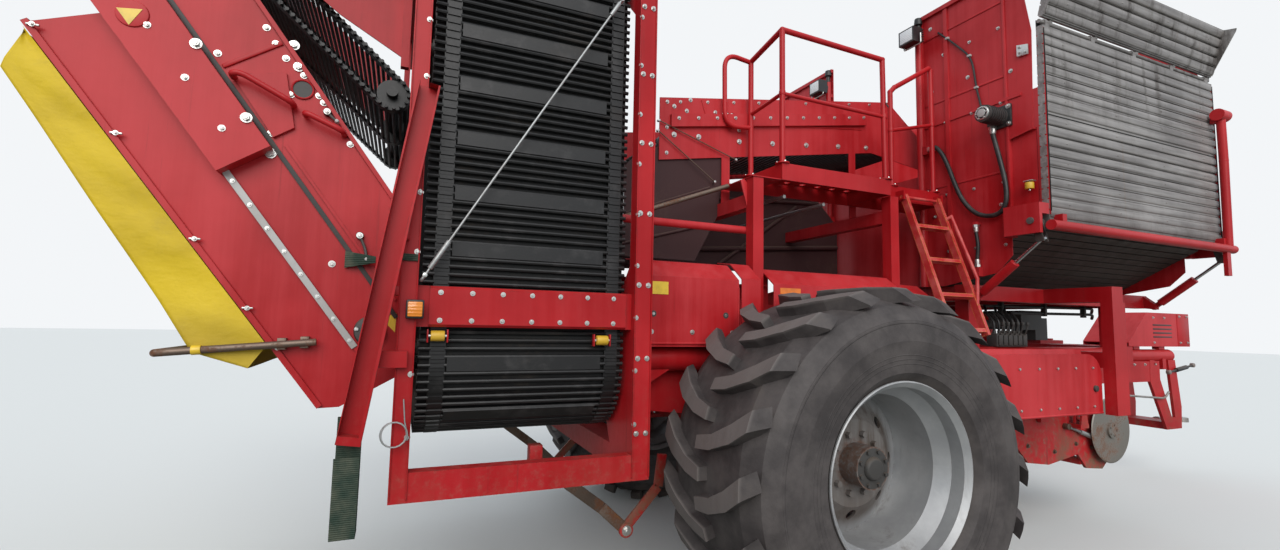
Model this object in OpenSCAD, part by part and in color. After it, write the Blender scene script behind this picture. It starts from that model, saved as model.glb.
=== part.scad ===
// Trailed two-row potato harvester with a side-unloading bunker, parked on its jack.
// Millimetres. X runs forwards, Y to the machine's left, Z up from the ground.
// Every module works from the axle line on the ground; place() moves it to the part's origin.

/* [Wheels] */
// Outside diameter of the flotation tyre over its lugs
wheel_d = 1625; // [1500:5:1750]
// Width of the tyre
tyre_w = 800; // [700:5:850]
// Bead seat diameter of the rim
rim_d = 775; // [700:5:820]
// Distance between the middles of the two wheels
track = 2500; // [2480:5:2560]
// Height of the tread lugs
lug_h = 52; // [35:1:60]
// Number of lugs on each half of the tread
lug_count = 20; // [16:1:24]

/* [Frame] */
// Outside diameter of the long frame tubes
rail_d = 130; // [100:5:140]
// Distance of each long tube from the centre line
rail_y = 700; // [690:5:710]
// Height of the long tubes' axes
rail_z = 1260; // [1240:5:1280]
// Front end of the long tubes, from the axle
rail_front = 3300; // [3200:10:3400]
// Side of the square axle beam
axle_box = 150; // [130:5:160]
// Radius of the stub axles
stub_r = 45; // [40:1:50]

/* [Drawbar] */
// Distance from the axle to the hitch ring's hole
hitch_x = 5850; // [5700:10:6000]
// Height of the hitch ring above the ground
hitch_z = 500; // [450:10:550]
// Bore radius of the hitch ring
hitch_r = 25; // [20:1:30]
// Diameter of the drawbar's two tubes
draw_tube_d = 130; // [110:5:140]
// Distance of the drawbar's tubes from its middle
draw_y = 140; // [130:5:160]

/* [Intake] */
// Height of the share tips above the ground in the raised position
share_z = 390; // [350:10:430]
// Clear width between the intake's side plates
intake_w = 1360; // [1320:10:1400]
// Diameter of the disc coulters
coulter_d = 560; // [500:10:600]
// Distance between the two ridges
row_gap = 750; // [700:10:760]

/* [Elevator] */
// Half width of the ring web, measured across the machine
ring_y = 1000; // [980:5:1010]
// Lowest point of the ring web
ring_z0 = 950; // [940:5:970]
// Highest point of the ring web
ring_z1 = 3640; // [3500:10:3700]
// Outside radius of the ring web's corners
ring_corner = 300; // [260:10:340]
// Length of the web's bars, along X
ring_len = 860; // [820:5:870]
// Spacing of the ring web's bars
ring_pitch = 75; // [60:5:100]

/* [Webs] */
// Diameter of the web bars
bar_d = 11; // [9:1:12]
// Thickness of the web belts
belt_t = 16; // [14:1:20]
// Width of the web belts
belt_w = 50; // [40:5:70]
// Spacing of the bars on the straight webs
bar_pitch = 95; // [60:5:120]

/* [Rear channel] */
// Incline of the rear channel
chan_ang = 54.3; // [53:0.1:55]
// Depth of the channel's side panels, square to the incline
chan_depth = 660; // [640:5:680]
// Distance from the centre line to the outside of each side panel
chan_y = 950; // [940:2:960]
// Length of the side panels along the incline
chan_len = 2720; // [2600:10:2800]

/* [Bunker] */
// Rear face of the bunker
bunker_x0 = 1500; // [1480:5:1520]
// Front face of the bunker
bunker_x1 = 3500; // [3400:10:3550]
// Top edge of the bunker walls
bunker_z1 = 3760; // [3700:10:3800]
// Distance of the discharge gate's hinge from the centre line
gate_y = 1270; // [1260:5:1280]
// Height of the discharge gate's hinge
gate_z = 2090; // [2070:5:2110]
// Height of the gate, from its hinge to the flap's hinge
gate_h = 1210; // [1150:10:1230]
// Height of the tilting top flap
flap_h = 360; // [320:5:380]
// Tilt of the top flap away from upright
flap_tilt = 14; // [8:1:20]

/* [Sheet and tube] */
// Thickness of the sheet metal
sheet = 6; // [4:1:8]
// Diameter of the handrail tubes
hand_d = 34; // [28:1:40]
// Gap where one piece is seated on another
seat = 0.3; // [0.2:0.05:0.5]

/* [Hidden] */
$fn = 48;

red = "#b3171c";
black = "#1c1c1e";
grey = "#8b8d8c";
steel = "#74767a";

// The rear channel's line, and the end of its side panels along it
chan_foot = [-2418, 1336];
chan_u = [-cos(chan_ang), sin(chan_ang)];
chan_v = [sin(chan_ang), cos(chan_ang)];
chan_low = -330;
chan_top = chan_low + chan_len;

// Point of the channel's side panel: s up the incline, v square to it
function chan(s, v) = chan_foot + chan_u * s + chan_v * v;

// The part's origin lies at the middle of its length, on the ground
tail_x = chan(chan_top + 5, 205)[0];
nose_x = hitch_x + hitch_r + 45;
mid_x = (tail_x + nose_x) / 2;

wheel_r = wheel_d / 2;
axle_z = wheel_r;
tyre_in = track / 2 - tyre_w / 2;
tyre_out = track / 2 + tyre_w / 2;
hub_run = 0.05;
rail_r = rail_d / 2;
// X spans of the elevator's front and rear portals
portal_f = [-1030, -945];
portal_r = [-1990, -1925];
rail_back = portal_f[1] + seat;
rail_outer = rail_y + rail_r;

module place() { translate([-mid_x, 0, 0]) children(); }

// Both sides of the machine from the right side's shape
module both() {
  children();
  mirror([0, 1, 0]) children();
}

// Plate in an X-Z plane, from y to y + t
module plate_xz(points, y, t) {
  translate([0, y + t, 0]) rotate([90, 0, 0]) linear_extrude(t) polygon(points);
}

// Plate in a Y-Z plane, from x to x + t
module plate_yz(points, x, t) {
  translate([x, 0, 0]) rotate([90, 0, 90]) linear_extrude(t) polygon(points);
}

// Box from its two far corners
module block(a, b) { translate(a) cube([b[0] - a[0], b[1] - a[1], b[2] - a[2]]); }

// Round bar from a to b
module rod(a, b, d) {
  v = b - a;
  len = norm(v);
  translate(a) rotate([0, acos(v[2] / len), atan2(v[1], v[0])]) cylinder(d = d, h = len);
}

// Chain of round bars with a slightly larger ball at each bend
module pipe_run(points, d) {
  for (i = [0 : len(points) - 2]) rod(points[i], points[i + 1], d);
  for (i = [1 : len(points) - 2]) translate(points[i]) sphere(d = d + 2);
}

// Square beam between two points of an X-Z plane, w wide across Y from y
module beam_xz(a, b, h, y, w) {
  u = (b - a) / norm(b - a);
  n = [-u[1], u[0]] * h / 2;
  plate_xz([a - n, b - n, b + n, a + n], y, w);
}

// Stadium outline around two circles of radius r, len apart along X
module stadium(len, r) {
  translate([0, -r]) square([len, 2 * r]);
  circle(r);
  translate([len, 0]) circle(r);
}

// Point at distance s along a stadium path
function stadium_at(s, len, r) =
  let(arc = PI * r, t = s % (2 * len + 2 * arc))
  t < len ? [t, -r] :
  t < len + arc ? let(g = (t - len) / r * 180 / PI - 90) [len + r * cos(g), r * sin(g)] :
  t < 2 * len + arc ? [len - (t - len - arc), r] :
  let(g = (t - 2 * len - arc) / r * 180 / PI + 90) [r * cos(g), r * sin(g)];

// Web of bars on belts round two rollers, bars along Y; a and b are the roller axes in X-Z
module chain_web(a, b, r, width, shaft_w, belts) {
  v = b - a;
  len = norm(v);
  mid_r = r - belt_t / 2;
  run = 2 * len + 2 * PI * mid_r;
  count = floor(run / bar_pitch);
  translate([a[0], 0, a[1]]) rotate([0, -atan2(v[1], v[0]), 0]) rotate([90, 0, 0]) {
    for (y = belts) translate([0, 0, y - belt_w / 2]) {
      linear_extrude(belt_w) difference() {
        stadium(len, r);
        stadium(len, r - belt_t);
      }
      for (x = [0, len]) translate([x, 0, 4]) cylinder(r = r - belt_t + 2, h = belt_w - 8);
    }
    for (i = [0 : count - 1]) let(p = stadium_at(i * run / count, len, mid_r))
      translate([p[0], p[1], -width / 2]) cylinder(d = bar_d, h = width, $fn = 24);
    for (x = [0, len]) translate([x, 0, -shaft_w / 2]) cylinder(d = 50, h = shaft_w);
  }
}

// WHEELS

rim_r = rim_d / 2;
flange_r = rim_r + 19;
hub_r = 95;
hub_len = 230;

module tyre_profile() {
  carcass_r = wheel_r - lug_h;
  half = tyre_w / 2;
  polygon([
    [rim_r + seat, -half + 72], [rim_r + 21, -half + 59], [rim_r + 55, -half + 24], [rim_r + 190, -half + 4],
    [carcass_r - 95, -half + 12], [carcass_r - 35, -half + 55], [carcass_r, -half + 150],
    [carcass_r + 4, 0], [carcass_r, half - 150], [carcass_r - 35, half - 55],
    [carcass_r - 95, half - 12], [rim_r + 190, half - 4], [rim_r + 55, half - 24],
    [rim_r + 21, half - 59], [rim_r + seat, half - 72], [rim_r + seat, half - 100],
    [rim_r + 24, half - 104], [rim_r + 60, half - 80],
    [carcass_r - 60, half - 90], [carcass_r - 60, -half + 90], [rim_r + 60, -half + 80],
    [rim_r + 24, -half + 104], [rim_r + seat, -half + 100]]);
}

// Outline of one lug seen from outside: across the tread, then along it
lug_outline = [[-18, -22], [90, -8], [230, 44], [330, 112], [392, 150],
  [392, 232], [318, 190], [215, 118], [95, 58], [-18, 34]];

module tyre_lugs() {
  base_r = wheel_r - lug_h - 30;
  step = 360 / lug_count;
  for (side = [0, 1], i = [0 : lug_count - 1])
    rotate([0, (i + side / 2) * step, 0]) mirror([0, side, 0])
      translate([0, 0, base_r]) linear_extrude(wheel_r - base_r)
        polygon([for (p = lug_outline) [p[1], p[0] * tyre_w / 800]]);
}

module tyre_envelope() {
  half = tyre_w / 2;
  rotate([90, 0, 0]) rotate_extrude($fn = 96) polygon([
    [wheel_r - 300, -half], [wheel_r - 130, -half + 2], [wheel_r - 62, -half + 26],
    [wheel_r - 6, -half + 84], [wheel_r, -half + 200], [wheel_r, half - 200],
    [wheel_r - 6, half - 84], [wheel_r - 62, half - 26], [wheel_r - 130, half - 2],
    [wheel_r - 300, half]]);
}

module tyre() {
  rotate([90, 0, 0]) rotate_extrude($fn = 96) tyre_profile();
  intersection() {
    tyre_lugs();
    tyre_envelope();
  }
}

module rim() {
  half = tyre_w / 2;
  bolt_pcd = 275;
  difference() {
    union() {
      rotate([90, 0, 0]) rotate_extrude($fn = 96) polygon([
        [rim_r - 9, -half + 70], [flange_r - 6, -half + 45], [flange_r, -half + 48],
        [flange_r, -half + 56], [rim_r, -half + 70], [rim_r, -half + 130], [rim_r - 42, -half + 170],
        [rim_r - 42, half - 200], [rim_r, half - 140], [rim_r, half - 70], [flange_r, half - 56],
        [flange_r, half - 48], [flange_r - 6, half - 45], [rim_r - 9, half - 70],
        [rim_r - 9, half - 134], [rim_r - 52, half - 196], [rim_r - 52, -half + 166],
        [rim_r - 9, -half + 126]]);
      // Dished disc, welded inside the well
      rotate([90, 0, 0]) rotate_extrude($fn = 96) polygon([
        [80, 60], [200, 60], [275, 10], [rim_r - 51, -20], [rim_r - 51, -32], [272, -4],
        [196, 46], [80, 46]]);
      translate([0, 60, 0]) rotate([90, 0, 0]) cylinder(r = hub_r, h = hub_len);
    }
    // Hub bore over the stub axle, and the eight hand holes
    translate([0, 61, 0]) rotate([90, 0, 0]) cylinder(r = stub_r + hub_run, h = hub_len - 25);
    for (i = [0 : 7]) rotate([0, i * 45, 0]) translate([242, 100, 0])
      rotate([90, 0, 0]) cylinder(r = 26, h = 200);
  }
  for (i = [0 : 9]) rotate([0, i * 36, 0]) translate([bolt_pcd / 2, -40, 0])
    rotate([90, 0, 0]) cylinder(d = 30, h = 45, $fn = 6);
}

module at_wheel(side) {
  translate([0, side * track / 2, axle_z]) mirror([0, side > 0 ? 1 : 0, 0]) children();
}

module rim_right() { color(grey) place() at_wheel(-1) rim(); }
module rim_left() { color(grey) place() at_wheel(1) rim(); }
module tyre_right() { color(black) place() at_wheel(-1) tyre(); }
module tyre_left() { color(black) place() at_wheel(1) tyre(); }

saddle_x = 170;

module axle_beam() {
  color(red) place() {
    half = axle_box / 2;
    block([-half, -790, axle_z - half], [half, 790, axle_z + half]);
    both() {
      // Stub axle with its shoulder, and the clamped saddle pad
      rod([0, -780, axle_z], [0, -(track / 2 + 140), axle_z], 2 * stub_r);
      rod([0, -780, axle_z], [0, -(track / 2 - 175), axle_z], 150);
      block([-saddle_x, -740, axle_z + half], [saddle_x, -660, axle_z + half + 20]);
      for (x = [-120, 120]) rod([x, -700, axle_z - half - 25], [x, -700, axle_z + half + 1], 24);
      block([-saddle_x, -740, axle_z - half - 25], [saddle_x, -660, axle_z - half]);
    }
  }
}

// FRAME

post_x = 2250;
bunker_rear_post = 1560;
beam_z0 = 1640;
beam_z1 = 1740;
deck_z = 2290;
deck_post_x = -170;

module main_frame() {
  color(red) place() {
    both() {
      rod([rail_back, -rail_y, rail_z], [rail_front + 20, -rail_y, rail_z], rail_d);
      // Axle saddle
      plate_xz([[-saddle_x, axle_z + axle_box / 2 + 20 + seat], [saddle_x, axle_z + axle_box / 2 + 20 + seat],
        [saddle_x, axle_z + 130], [110, rail_z], [-110, rail_z], [-saddle_x, axle_z + 130]], -740, 80);
      // Hangers of the lower cross members
      block([-900, -735, 760], [-820, -665, rail_z]);
      block([1460, -735, 600], [1540, -665, rail_z]);
      // Hanger and pin of the intake, ears of its lift cylinder
      block([intake_pivot[0] - 45, -735, intake_pivot[1] - 45], [intake_pivot[0] + 45, -706, rail_z]);
      rod([intake_pivot[0], -720, intake_pivot[1]], [intake_pivot[0], -686, intake_pivot[1]], 60);
      for (y = [-790, -745])
        plate_xz([[lift_base[0] - 40, rail_z - 20], [lift_base[0] - 40, lift_base[1] - 20],
          [lift_base[0] + 40, lift_base[1] - 20], [lift_base[0] + 40, rail_z - 20]], y, 12);
      block([lift_base[0] - 40, -790, rail_z - 25], [lift_base[0] + 40, -700, rail_z + 5]);
      // Outrigger and bunker post at the front, rear bunker post on the tube
      block([post_x, -1180, rail_z - 50], [post_x + 100, -rail_y, rail_z + 50]);
      block([post_x, -1240, 912], [post_x + 140, -1170, beam_z0]);
      block([bunker_rear_post, -750, rail_z], [bunker_rear_post + 100, -650, beam_z0]);
      // Posts of the platforms
      block([deck_post_x, -735, rail_z], [deck_post_x + 70, -665, deck_z - seat]);
      block([880, -735, rail_z], [950, -665, deck_z - seat]);
      // Rear gusset towards the elevator
      beam_xz([-920, 1100], [-700, 1230], 60, -735, 70);
    }
    block([-900, -700, 760], [-820, 700, 840]);
    block([1460, -700, 600], [1540, 700, 680]);
    block([post_x, -1240, beam_z0], [post_x + 120, 1240, beam_z1]);
    block([bunker_rear_post, -800, beam_z0], [bunker_rear_post + 100, 800, beam_z1]);
    block([3260, -800, beam_z0], [3360, 800, beam_z1]);
    // Ears of the gate's cylinders, at the right ends of the long beams
    for (x = gate_cyl_x, dx = [-23, 13])
      plate_yz([[-815, beam_z0], [gate_base[0] - 18, gate_base[1] - 20], [gate_base[0] - 18, gate_base[1] + 18],
        [-815, beam_z1]], x + dx, 10);
    both() {
      block([gate_cyl_x[0] - 23, -820, beam_z0], [gate_cyl_x[1] + 23, -740, beam_z1]);
      block([3200, -740, rail_z], [3300, -660, beam_z0 + 1]);
    }
    // Head of the frame with the two ears of the drawbar's pivot
    block([rail_front, -rail_outer, rail_z - 70], [rail_front + 140, rail_outer, rail_z + 70]);
    difference() {
      for (z = [rail_z - 100, rail_z + 70])
        plate_xy_ear([rail_front + 60, 0, z], pivot_x - rail_front - 60, 110, 30);
      translate([pivot_x, 0, rail_z - 120]) cylinder(r = pivot_r + hub_run, h = 240);
    }
    // Ears of the steering cylinder
    for (z = [steer_z - 36, steer_z + 24]) {
      block([rail_front + 139, steer_base[1] - 22, z], [steer_base[0], steer_base[1] + 22, z + 12]);
      translate([steer_base[0], steer_base[1], z]) cylinder(r = 22, h = 12);
    }
    // Jack bracket on the left
    block([rail_front + 139, 470, rail_z - 70], [rail_front + 220, 610, rail_z + 40]);
    difference() {
      translate([jack_x, jack_y, rail_z - 260]) cylinder(d = 110, h = 620);
      translate([jack_x, jack_y, rail_z - 261]) cylinder(d = 90.1, h = 600);
    }
  }
}

// Horizontal ear with a round end, reaching len forwards from p
module plate_xy_ear(p, len, r, t) {
  translate(p) linear_extrude(t) {
    translate([0, -r]) square([len, 2 * r]);
    translate([len, 0]) circle(r);
  }
}

// DRAWBAR

pivot_x = rail_front + 360;
pivot_r = 35;
jack_x = rail_front + 270;
jack_y = 540;
draw_z = 1215;
hood_x0 = 4560;

module drawbar() {
  color(red) place() {
    // Pivot head between the frame's ears, with its pin
    translate([pivot_x, 0, rail_z - 65]) cylinder(r = 100, h = 130);
    block([pivot_x, -100, rail_z - 65], [pivot_x + 330, 100, rail_z + 65]);
    translate([pivot_x, 0, rail_z - 115]) cylinder(r = pivot_r, h = 230);
    block([pivot_x + 260, -210, draw_z - 250], [pivot_x + 340, 210, rail_z + 65]);
    both() {
      rod([pivot_x + 330, -draw_y, draw_z], [5350, -draw_y, draw_z], draw_tube_d);
      // Lower box beam and the two legs of the hitch bracket
      block([pivot_x + 300, -205, 965], [5060, -130, 1165]);
      plate_xz([[4890, 1175], [4970, 1175], [5230, 600], [5290, 600], [5215, 1175], [5345, 1175],
        [5420, 700], [5400, 485], [5130, 485], [4880, 960]], -207, 25);
      block([5120, -207, 1085], [5180, -140, 1190]);
    }
    // Lug of the steering cylinder, with its pin
    for (z = [steer_z - 36, steer_z + 24])
      block([steer_lug[0] - 25, steer_lug[1] - 22, z], [steer_lug[0] + 25, -190, z + 12]);
    translate([steer_lug[0], steer_lug[1], steer_z - 30]) cylinder(d = 20, h = 60);
    // Bridge between the legs that carries the hitch ring
    difference() {
      block([5140, -183, hitch_z - 15], [5400, 183, hitch_z + 55]);
      translate([5270, 0, hitch_z + 20]) rotate([0, 90, 0]) cylinder(r = 27.1, h = 200);
    }
    block([5140, -183, 1080], [5340, 183, 1165]);
  }
}

module hitch_ring() {
  color(steel) place() difference() {
    union() {
      translate([hitch_x, 0, hitch_z + 20 - 22]) cylinder(r = hitch_r + 45, h = 44);
      rod([5275, 0, hitch_z + 20], [hitch_x - hitch_r - 10, 0, hitch_z + 20], 54);
      rod([5400 + seat, 0, hitch_z + 20], [5440, 0, hitch_z + 20], 100);
    }
    translate([hitch_x, 0, hitch_z - 40]) cylinder(r = hitch_r, h = 120);
  }
}

module jack_leg() {
  color(steel) place() {
    translate([jack_x, jack_y, 30]) cylinder(d = 90, h = 1180);
    translate([jack_x, jack_y, 0]) cylinder(r = 130, h = 30);
  }
}

module front_hood() {
  color(red) place() {
    difference() {
      plate_xz([[hood_x0, 1350], [hood_x0 + 330, 1650], [5667, 1650], [5667, 1310], [hood_x0, 1310]], -200, 400);
      plate_xz([[hood_x0 + 20, 1360], [hood_x0 + 335, 1644], [5440, 1644], [5440, 1316], [hood_x0 - 1, 1316],
        [hood_x0 - 1, 1342]], -194, 388);
    }
    // Feet on the drawbar's tubes
    both() block([4700, -170, draw_z + draw_tube_d / 2 + seat], [4800, -110, 1311]);
    both() block([5150, -170, draw_z + draw_tube_d / 2 + seat], [5250, -110, 1311]);
  }
}

// Gearbox on the frame head, the long drive shaft and its front bearing
module pto_drive() {
  color(black) place() {
    block([3040, -150, rail_z + 190], [3320, 150, rail_z + 360]);
    block([3310, -100, rail_z + 100 + seat], [3480, 100, rail_z + 300]);
    rod([2300, 0, 1500], [3050, 0, 1500], 60);
    rod([2180, 0, 1500], [2301, 0, 1500], 130);
  }
}

// INTAKE

intake_pivot = [2350, 830];
intake_y = intake_w / 2;
toolbar = [2960, 960];
disc_hub = [3120, 690];
roller_hub = [3230, 620];
disc_side = 750;
lift_base = [2600, 1150];
lift_lug = [2720, 800];
cyl_y = 761.5;

module intake_frame() {
  color(red) place() {
    both() {
      // Side plate with its hook-shaped toe
      difference() {
        plate_xz([[2000, 700], [2120, 930], [2480, 930], [2880, 880], [2900, 1000], [3010, 1000],
          [3060, 860], [3130, 700], [3160, share_z + 60], [3080, share_z], [2880, share_z + 20],
          [2780, 520], [2430, 470], [2200, 500]], -(intake_y + 20), 20);
        translate([intake_pivot[0], 0, intake_pivot[1]]) rotate([90, 0, 0])
          cylinder(r = 30 + hub_run, h = 2000);
      }
      // Lift lug: two cheeks beside the cylinder's eye, and its pin
      for (y = [-790, -745])
        plate_xz([for (d = [[-50, -70], [50, -70], [30, 24], [-30, 24]]) lift_lug + d], y, 12);
      block([lift_lug[0] - 50, -790, lift_lug[1] - 70], [lift_lug[0] + 50, -intake_y - 19, lift_lug[1] - 40]);
      rod([lift_lug[0], -785, lift_lug[1]], [lift_lug[0], -740, lift_lug[1]], 20);
      // Arm of the outer disc, with the bearing of its shaft
      difference() {
        union() {
          beam_xz(toolbar, disc_hub, 70, -disc_side + 25, 16);
          block([toolbar[0] - 35, -disc_side + 25, toolbar[1] - 35], [toolbar[0] + 35, -intake_y, toolbar[1] + 30]);
          rod([disc_hub[0], -disc_side + 8, disc_hub[1]], [disc_hub[0], -disc_side + 50, disc_hub[1]], 80);
        }
        rod([disc_hub[0], -disc_side + 7, disc_hub[1]], [disc_hub[0], -disc_side + 51, disc_hub[1]], 44 + 2 * hub_run);
      }
      // Arms of the ridge roller
      for (y = [-row_gap / 2 - 300, -row_gap / 2 + 290]) difference() {
        beam_xz(toolbar, roller_hub + [15, -18], 70, y, 10);
        rod([roller_hub[0], y - 1, roller_hub[1]], [roller_hub[0], y + 11, roller_hub[1]], 40 + 2 * hub_run);
      }
    }
    rod([toolbar[0], -intake_y - 1, toolbar[1]], [toolbar[0], intake_y + 1, toolbar[1]], 80);
    rod([2560, -intake_y - 1, 545], [2560, intake_y + 1, 545], 70);
    // Shares: one pointed blade for each ridge, on a cross bar
    for (y = [-row_gap / 2, row_gap / 2])
      translate([3010, y, share_z + 30]) rotate([0, 14, 0])
        linear_extrude(12) polygon([[-180, -270], [60, -270], [140, 0], [60, 270], [-180, 270]]);
    block([2830, -intake_y - 1, share_z + 45], [2880, intake_y + 1, share_z + 95]);
  }
}

module intake_web() {
  color(black) place()
    chain_web([2340, 790], [2700, 640], 70, intake_w - 30, 2 * intake_y - 0.6,
      [-intake_y + 60, intake_y - 60]);
}

// Two disc coulters on one axis line, each with its shaft
module coulters() {
  color(steel) place() both() translate([disc_hub[0], -disc_side + 4, disc_hub[1]]) rotate([90, 0, 0]) {
    rotate_extrude($fn = 96) polygon([[0, 0], [coulter_d / 2 - 40, 0], [coulter_d / 2 - 30, 3],
      [coulter_d / 2 - 40, 8], [0, 8]]);
    translate([0, 0, -45]) cylinder(d = 44, h = 53);
    translate([0, 0, 7]) cylinder(d = 120, h = 15);
    for (i = [0 : 4]) rotate([0, 0, i * 72]) translate([42, 0, 20]) cylinder(d = 16, h = 8, $fn = 6);
  }
}

// Two waisted rollers that follow the ridges
module ridge_rollers() {
  color(black) place() for (y = [-row_gap / 2, row_gap / 2])
    translate([roller_hub[0], y, roller_hub[1]]) rotate([90, 0, 0]) {
      rotate_extrude() polygon([[0, -270], [185, -270], [185, -255], [120, -80], [110, 0], [120, 80],
        [185, 255], [185, 270], [0, 270]]);
      translate([0, 0, -row_gap / 2 + 80]) cylinder(d = 40, h = row_gap - 160);
    }
}

// Barrel from its base pin, along +X, with an eye at the base and a bore for the rod
module cyl_barrel(len, d, rod_d, eye_w) {
  rotate([90, 0, 0]) translate([0, 0, -eye_w / 2]) cylinder(r = d * 0.4, h = eye_w);
  translate([0, -eye_w / 2, -d * 0.3]) cube([60, eye_w, d * 0.6]);
  difference() {
    rotate([0, 90, 0]) translate([0, 0, 52]) cylinder(d = d, h = len - 52);
    rotate([0, 90, 0]) translate([0, 0, 80]) cylinder(d = rod_d + 2 * hub_run, h = len);
  }
}

// Rod reaching back from its eye by len, along -X; a bore only where the pin goes through
module cyl_rod(len, d, eye_w, bore) {
  difference() {
    union() {
      rotate([90, 0, 0]) translate([0, 0, -eye_w / 2]) cylinder(r = max(d * 0.8, bore / 2 + 7), h = eye_w);
      rotate([0, -90, 0]) cylinder(d = d, h = len);
    }
    rotate([90, 0, 0]) cylinder(d = bore, h = 2 * eye_w, center = true);
  }
}

lift_len = norm(lift_lug - lift_base);
lift_ang = atan2(lift_lug[1] - lift_base[1], lift_lug[0] - lift_base[0]);

module lift_barrels() {
  color(black) place() both() translate([lift_base[0], -cyl_y, lift_base[1]])
    rotate([0, -lift_ang, 0]) {
      cyl_barrel(lift_len - 70, 60, 30, 22);
      rotate([90, 0, 0]) translate([0, 0, -16.5 + seat]) cylinder(r = 14, h = 33 - 2 * seat);
    }
}

module lift_rods() {
  color(steel) place() both() translate([lift_lug[0], -cyl_y, lift_lug[1]])
    rotate([0, -lift_ang, 0]) cyl_rod(lift_len - 110, 30, 22, 26);
}

steer_base = [rail_front + 190, -450];
steer_lug = [pivot_x + 390, -320];
steer_z = 1215;
steer_len = norm(steer_lug - steer_base);
steer_ang = atan2(steer_lug[1] - steer_base[1], steer_lug[0] - steer_base[0]);

module steer_barrel() {
  color(black) place() translate([steer_base[0], steer_base[1], steer_z]) rotate([0, 0, steer_ang])
    rotate([90, 0, 0]) {
      cyl_barrel(steer_len - 190, 70, 36, 30);
      rotate([90, 0, 0]) translate([0, 0, -24 + seat]) cylinder(r = 16, h = 48 - 2 * seat);
    }
}

module steer_rod() {
  color(steel) place() translate([steer_lug[0], steer_lug[1], steer_z]) rotate([0, 0, steer_ang])
    rotate([90, 0, 0]) cyl_rod(steer_len - 225, 36, 30, 44);
}

// CROP PATH UNDER THE MACHINE

web_y = rail_y - rail_r - seat;
main_web_a = [-760, 1093];
main_web_b = [2100, 742];

module main_web() {
  color(black) place()
    chain_web(main_web_a, main_web_b, 80, 2 * web_y - 2 * sheet - 20, 2 * (web_y - sheet - seat),
      [-web_y + 80, 0, web_y - 80]);
}

module web_sides() {
  color(red) place() both() difference() {
    plate_xz([[-860, 1180], [-860, 1400], [1420, 1400], [2120, 1050], [2200, 800], [2160, 640],
      [2040, 640], [1000, 770], [-100, 910], [-820, 990]], -web_y, sheet);
    // Windows over the axle, as seen between the wheel and the covers
    for (x = [250, 700]) plate_xz([[x, 1180], [x + 300, 1180], [x + 300, 1330], [x, 1330]], -web_y - 1, sheet + 2);
  }
}

// Folded shield along the machine's lower side, with a rounded front corner
module side_shields() {
  color(red) place() both() {
    y = -1160;
    translate([0, y, 0]) rotate([90, 0, 0]) linear_extrude(sheet) {
      polygon([[1000, 925], [2236, 925], [2236, 1150], [2090, 1300], [1000, 1300]]);
      translate([2090, 1150]) intersection() {
        circle(150);
        square(150);
      }
    }
    // Inclined upper lip and the lower return edge
    plate_yz([[y, 1225], [y - sheet, 1225], [y - sheet, 1215], [-1130, 1330], [-1120, 1330]], 1000, 1080);
    block([1000, y, 925], [2236, -1100, 931]);
    // Carriers to the long tube
    for (x = [1080, 1900]) block([x, y + seat, 1235], [x + 40, -rail_outer - seat, 1285]);
  }
}

// Folded cover panels above the long tubes, beside the sieve webs
cover_sections = [[-875, -318, 1770], [-300, -178, 1780], [-92, 872, 1760], [958, 1140, 1720]];
cover_gap = 29;

module side_covers() {
  foot = rail_z + rail_r + seat;
  y = cover_gap - tyre_in;
  color(red) place() both() for (c = cover_sections)
    plate_yz([[-690, foot], [y, foot], [y, c[2] - 90], [-700, c[2]], [-560, c[2] + 20],
      [-560, c[2] + 14], [-698, c[2] - 6], [y + 6, c[2] - 93], [y + 6, foot + 6], [-690, foot + 6]],
      c[0], c[1] - c[0]);
}

// RING ELEVATOR

ring_x0 = -1910;
ring_x1 = ring_x0 + ring_len;
ring_w = 2 * ring_y;
ring_h = ring_z1 - ring_z0;

module ring_outline(inset) {
  flat_w = ring_w - 2 * ring_corner;
  flat_h = ring_h - 2 * ring_corner;
  translate([-flat_w / 2, -ring_h / 2 + inset]) square([flat_w, ring_h - 2 * inset]);
  translate([-ring_w / 2 + inset, -flat_h / 2]) square([ring_w - 2 * inset, flat_h]);
  for (sx = [-1, 1], sy = [-1, 1])
    translate([sx * flat_w / 2, sy * flat_h / 2]) circle(ring_corner - inset);
}

// Point and direction at distance s along the ring, inset from its outside
function ring_at(s, inset) =
  let(a = ring_w - 2 * ring_corner, b = ring_h - 2 * ring_corner, r = ring_corner - inset,
    q = PI * r / 2, t = s % (2 * a + 2 * b + 4 * q), half_w = ring_w / 2 - inset, half_h = ring_h / 2 - inset)
  t < a ? [t - a / 2, -half_h, 0] :
  t < a + q ? let(g = (t - a) / q * 90) [a / 2 + r * sin(g), -b / 2 - r * cos(g), g] :
  t < a + q + b ? [half_w, t - a - q - b / 2, 90] :
  t < a + 2 * q + b ? let(g = (t - a - q - b) / q * 90) [a / 2 + r * cos(g), b / 2 + r * sin(g), 90 + g] :
  t < 2 * a + 2 * q + b ? [a / 2 - (t - a - 2 * q - b), half_h, 180] :
  t < 2 * a + 3 * q + b ? let(g = (t - 2 * a - 2 * q - b) / q * 90) [-a / 2 - r * sin(g), b / 2 + r * cos(g), 180 + g] :
  t < 2 * a + 3 * q + 2 * b ? [-half_w, b / 2 - (t - 2 * a - 3 * q - b), 270] :
  let(g = (t - 2 * a - 3 * q - 2 * b) / q * 90) [-a / 2 - r * cos(g), -b / 2 - r * sin(g), 270 + g];

module in_ring() {
  translate([ring_x0, 0, (ring_z0 + ring_z1) / 2]) rotate([90, 0, 90]) children();
}

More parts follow.
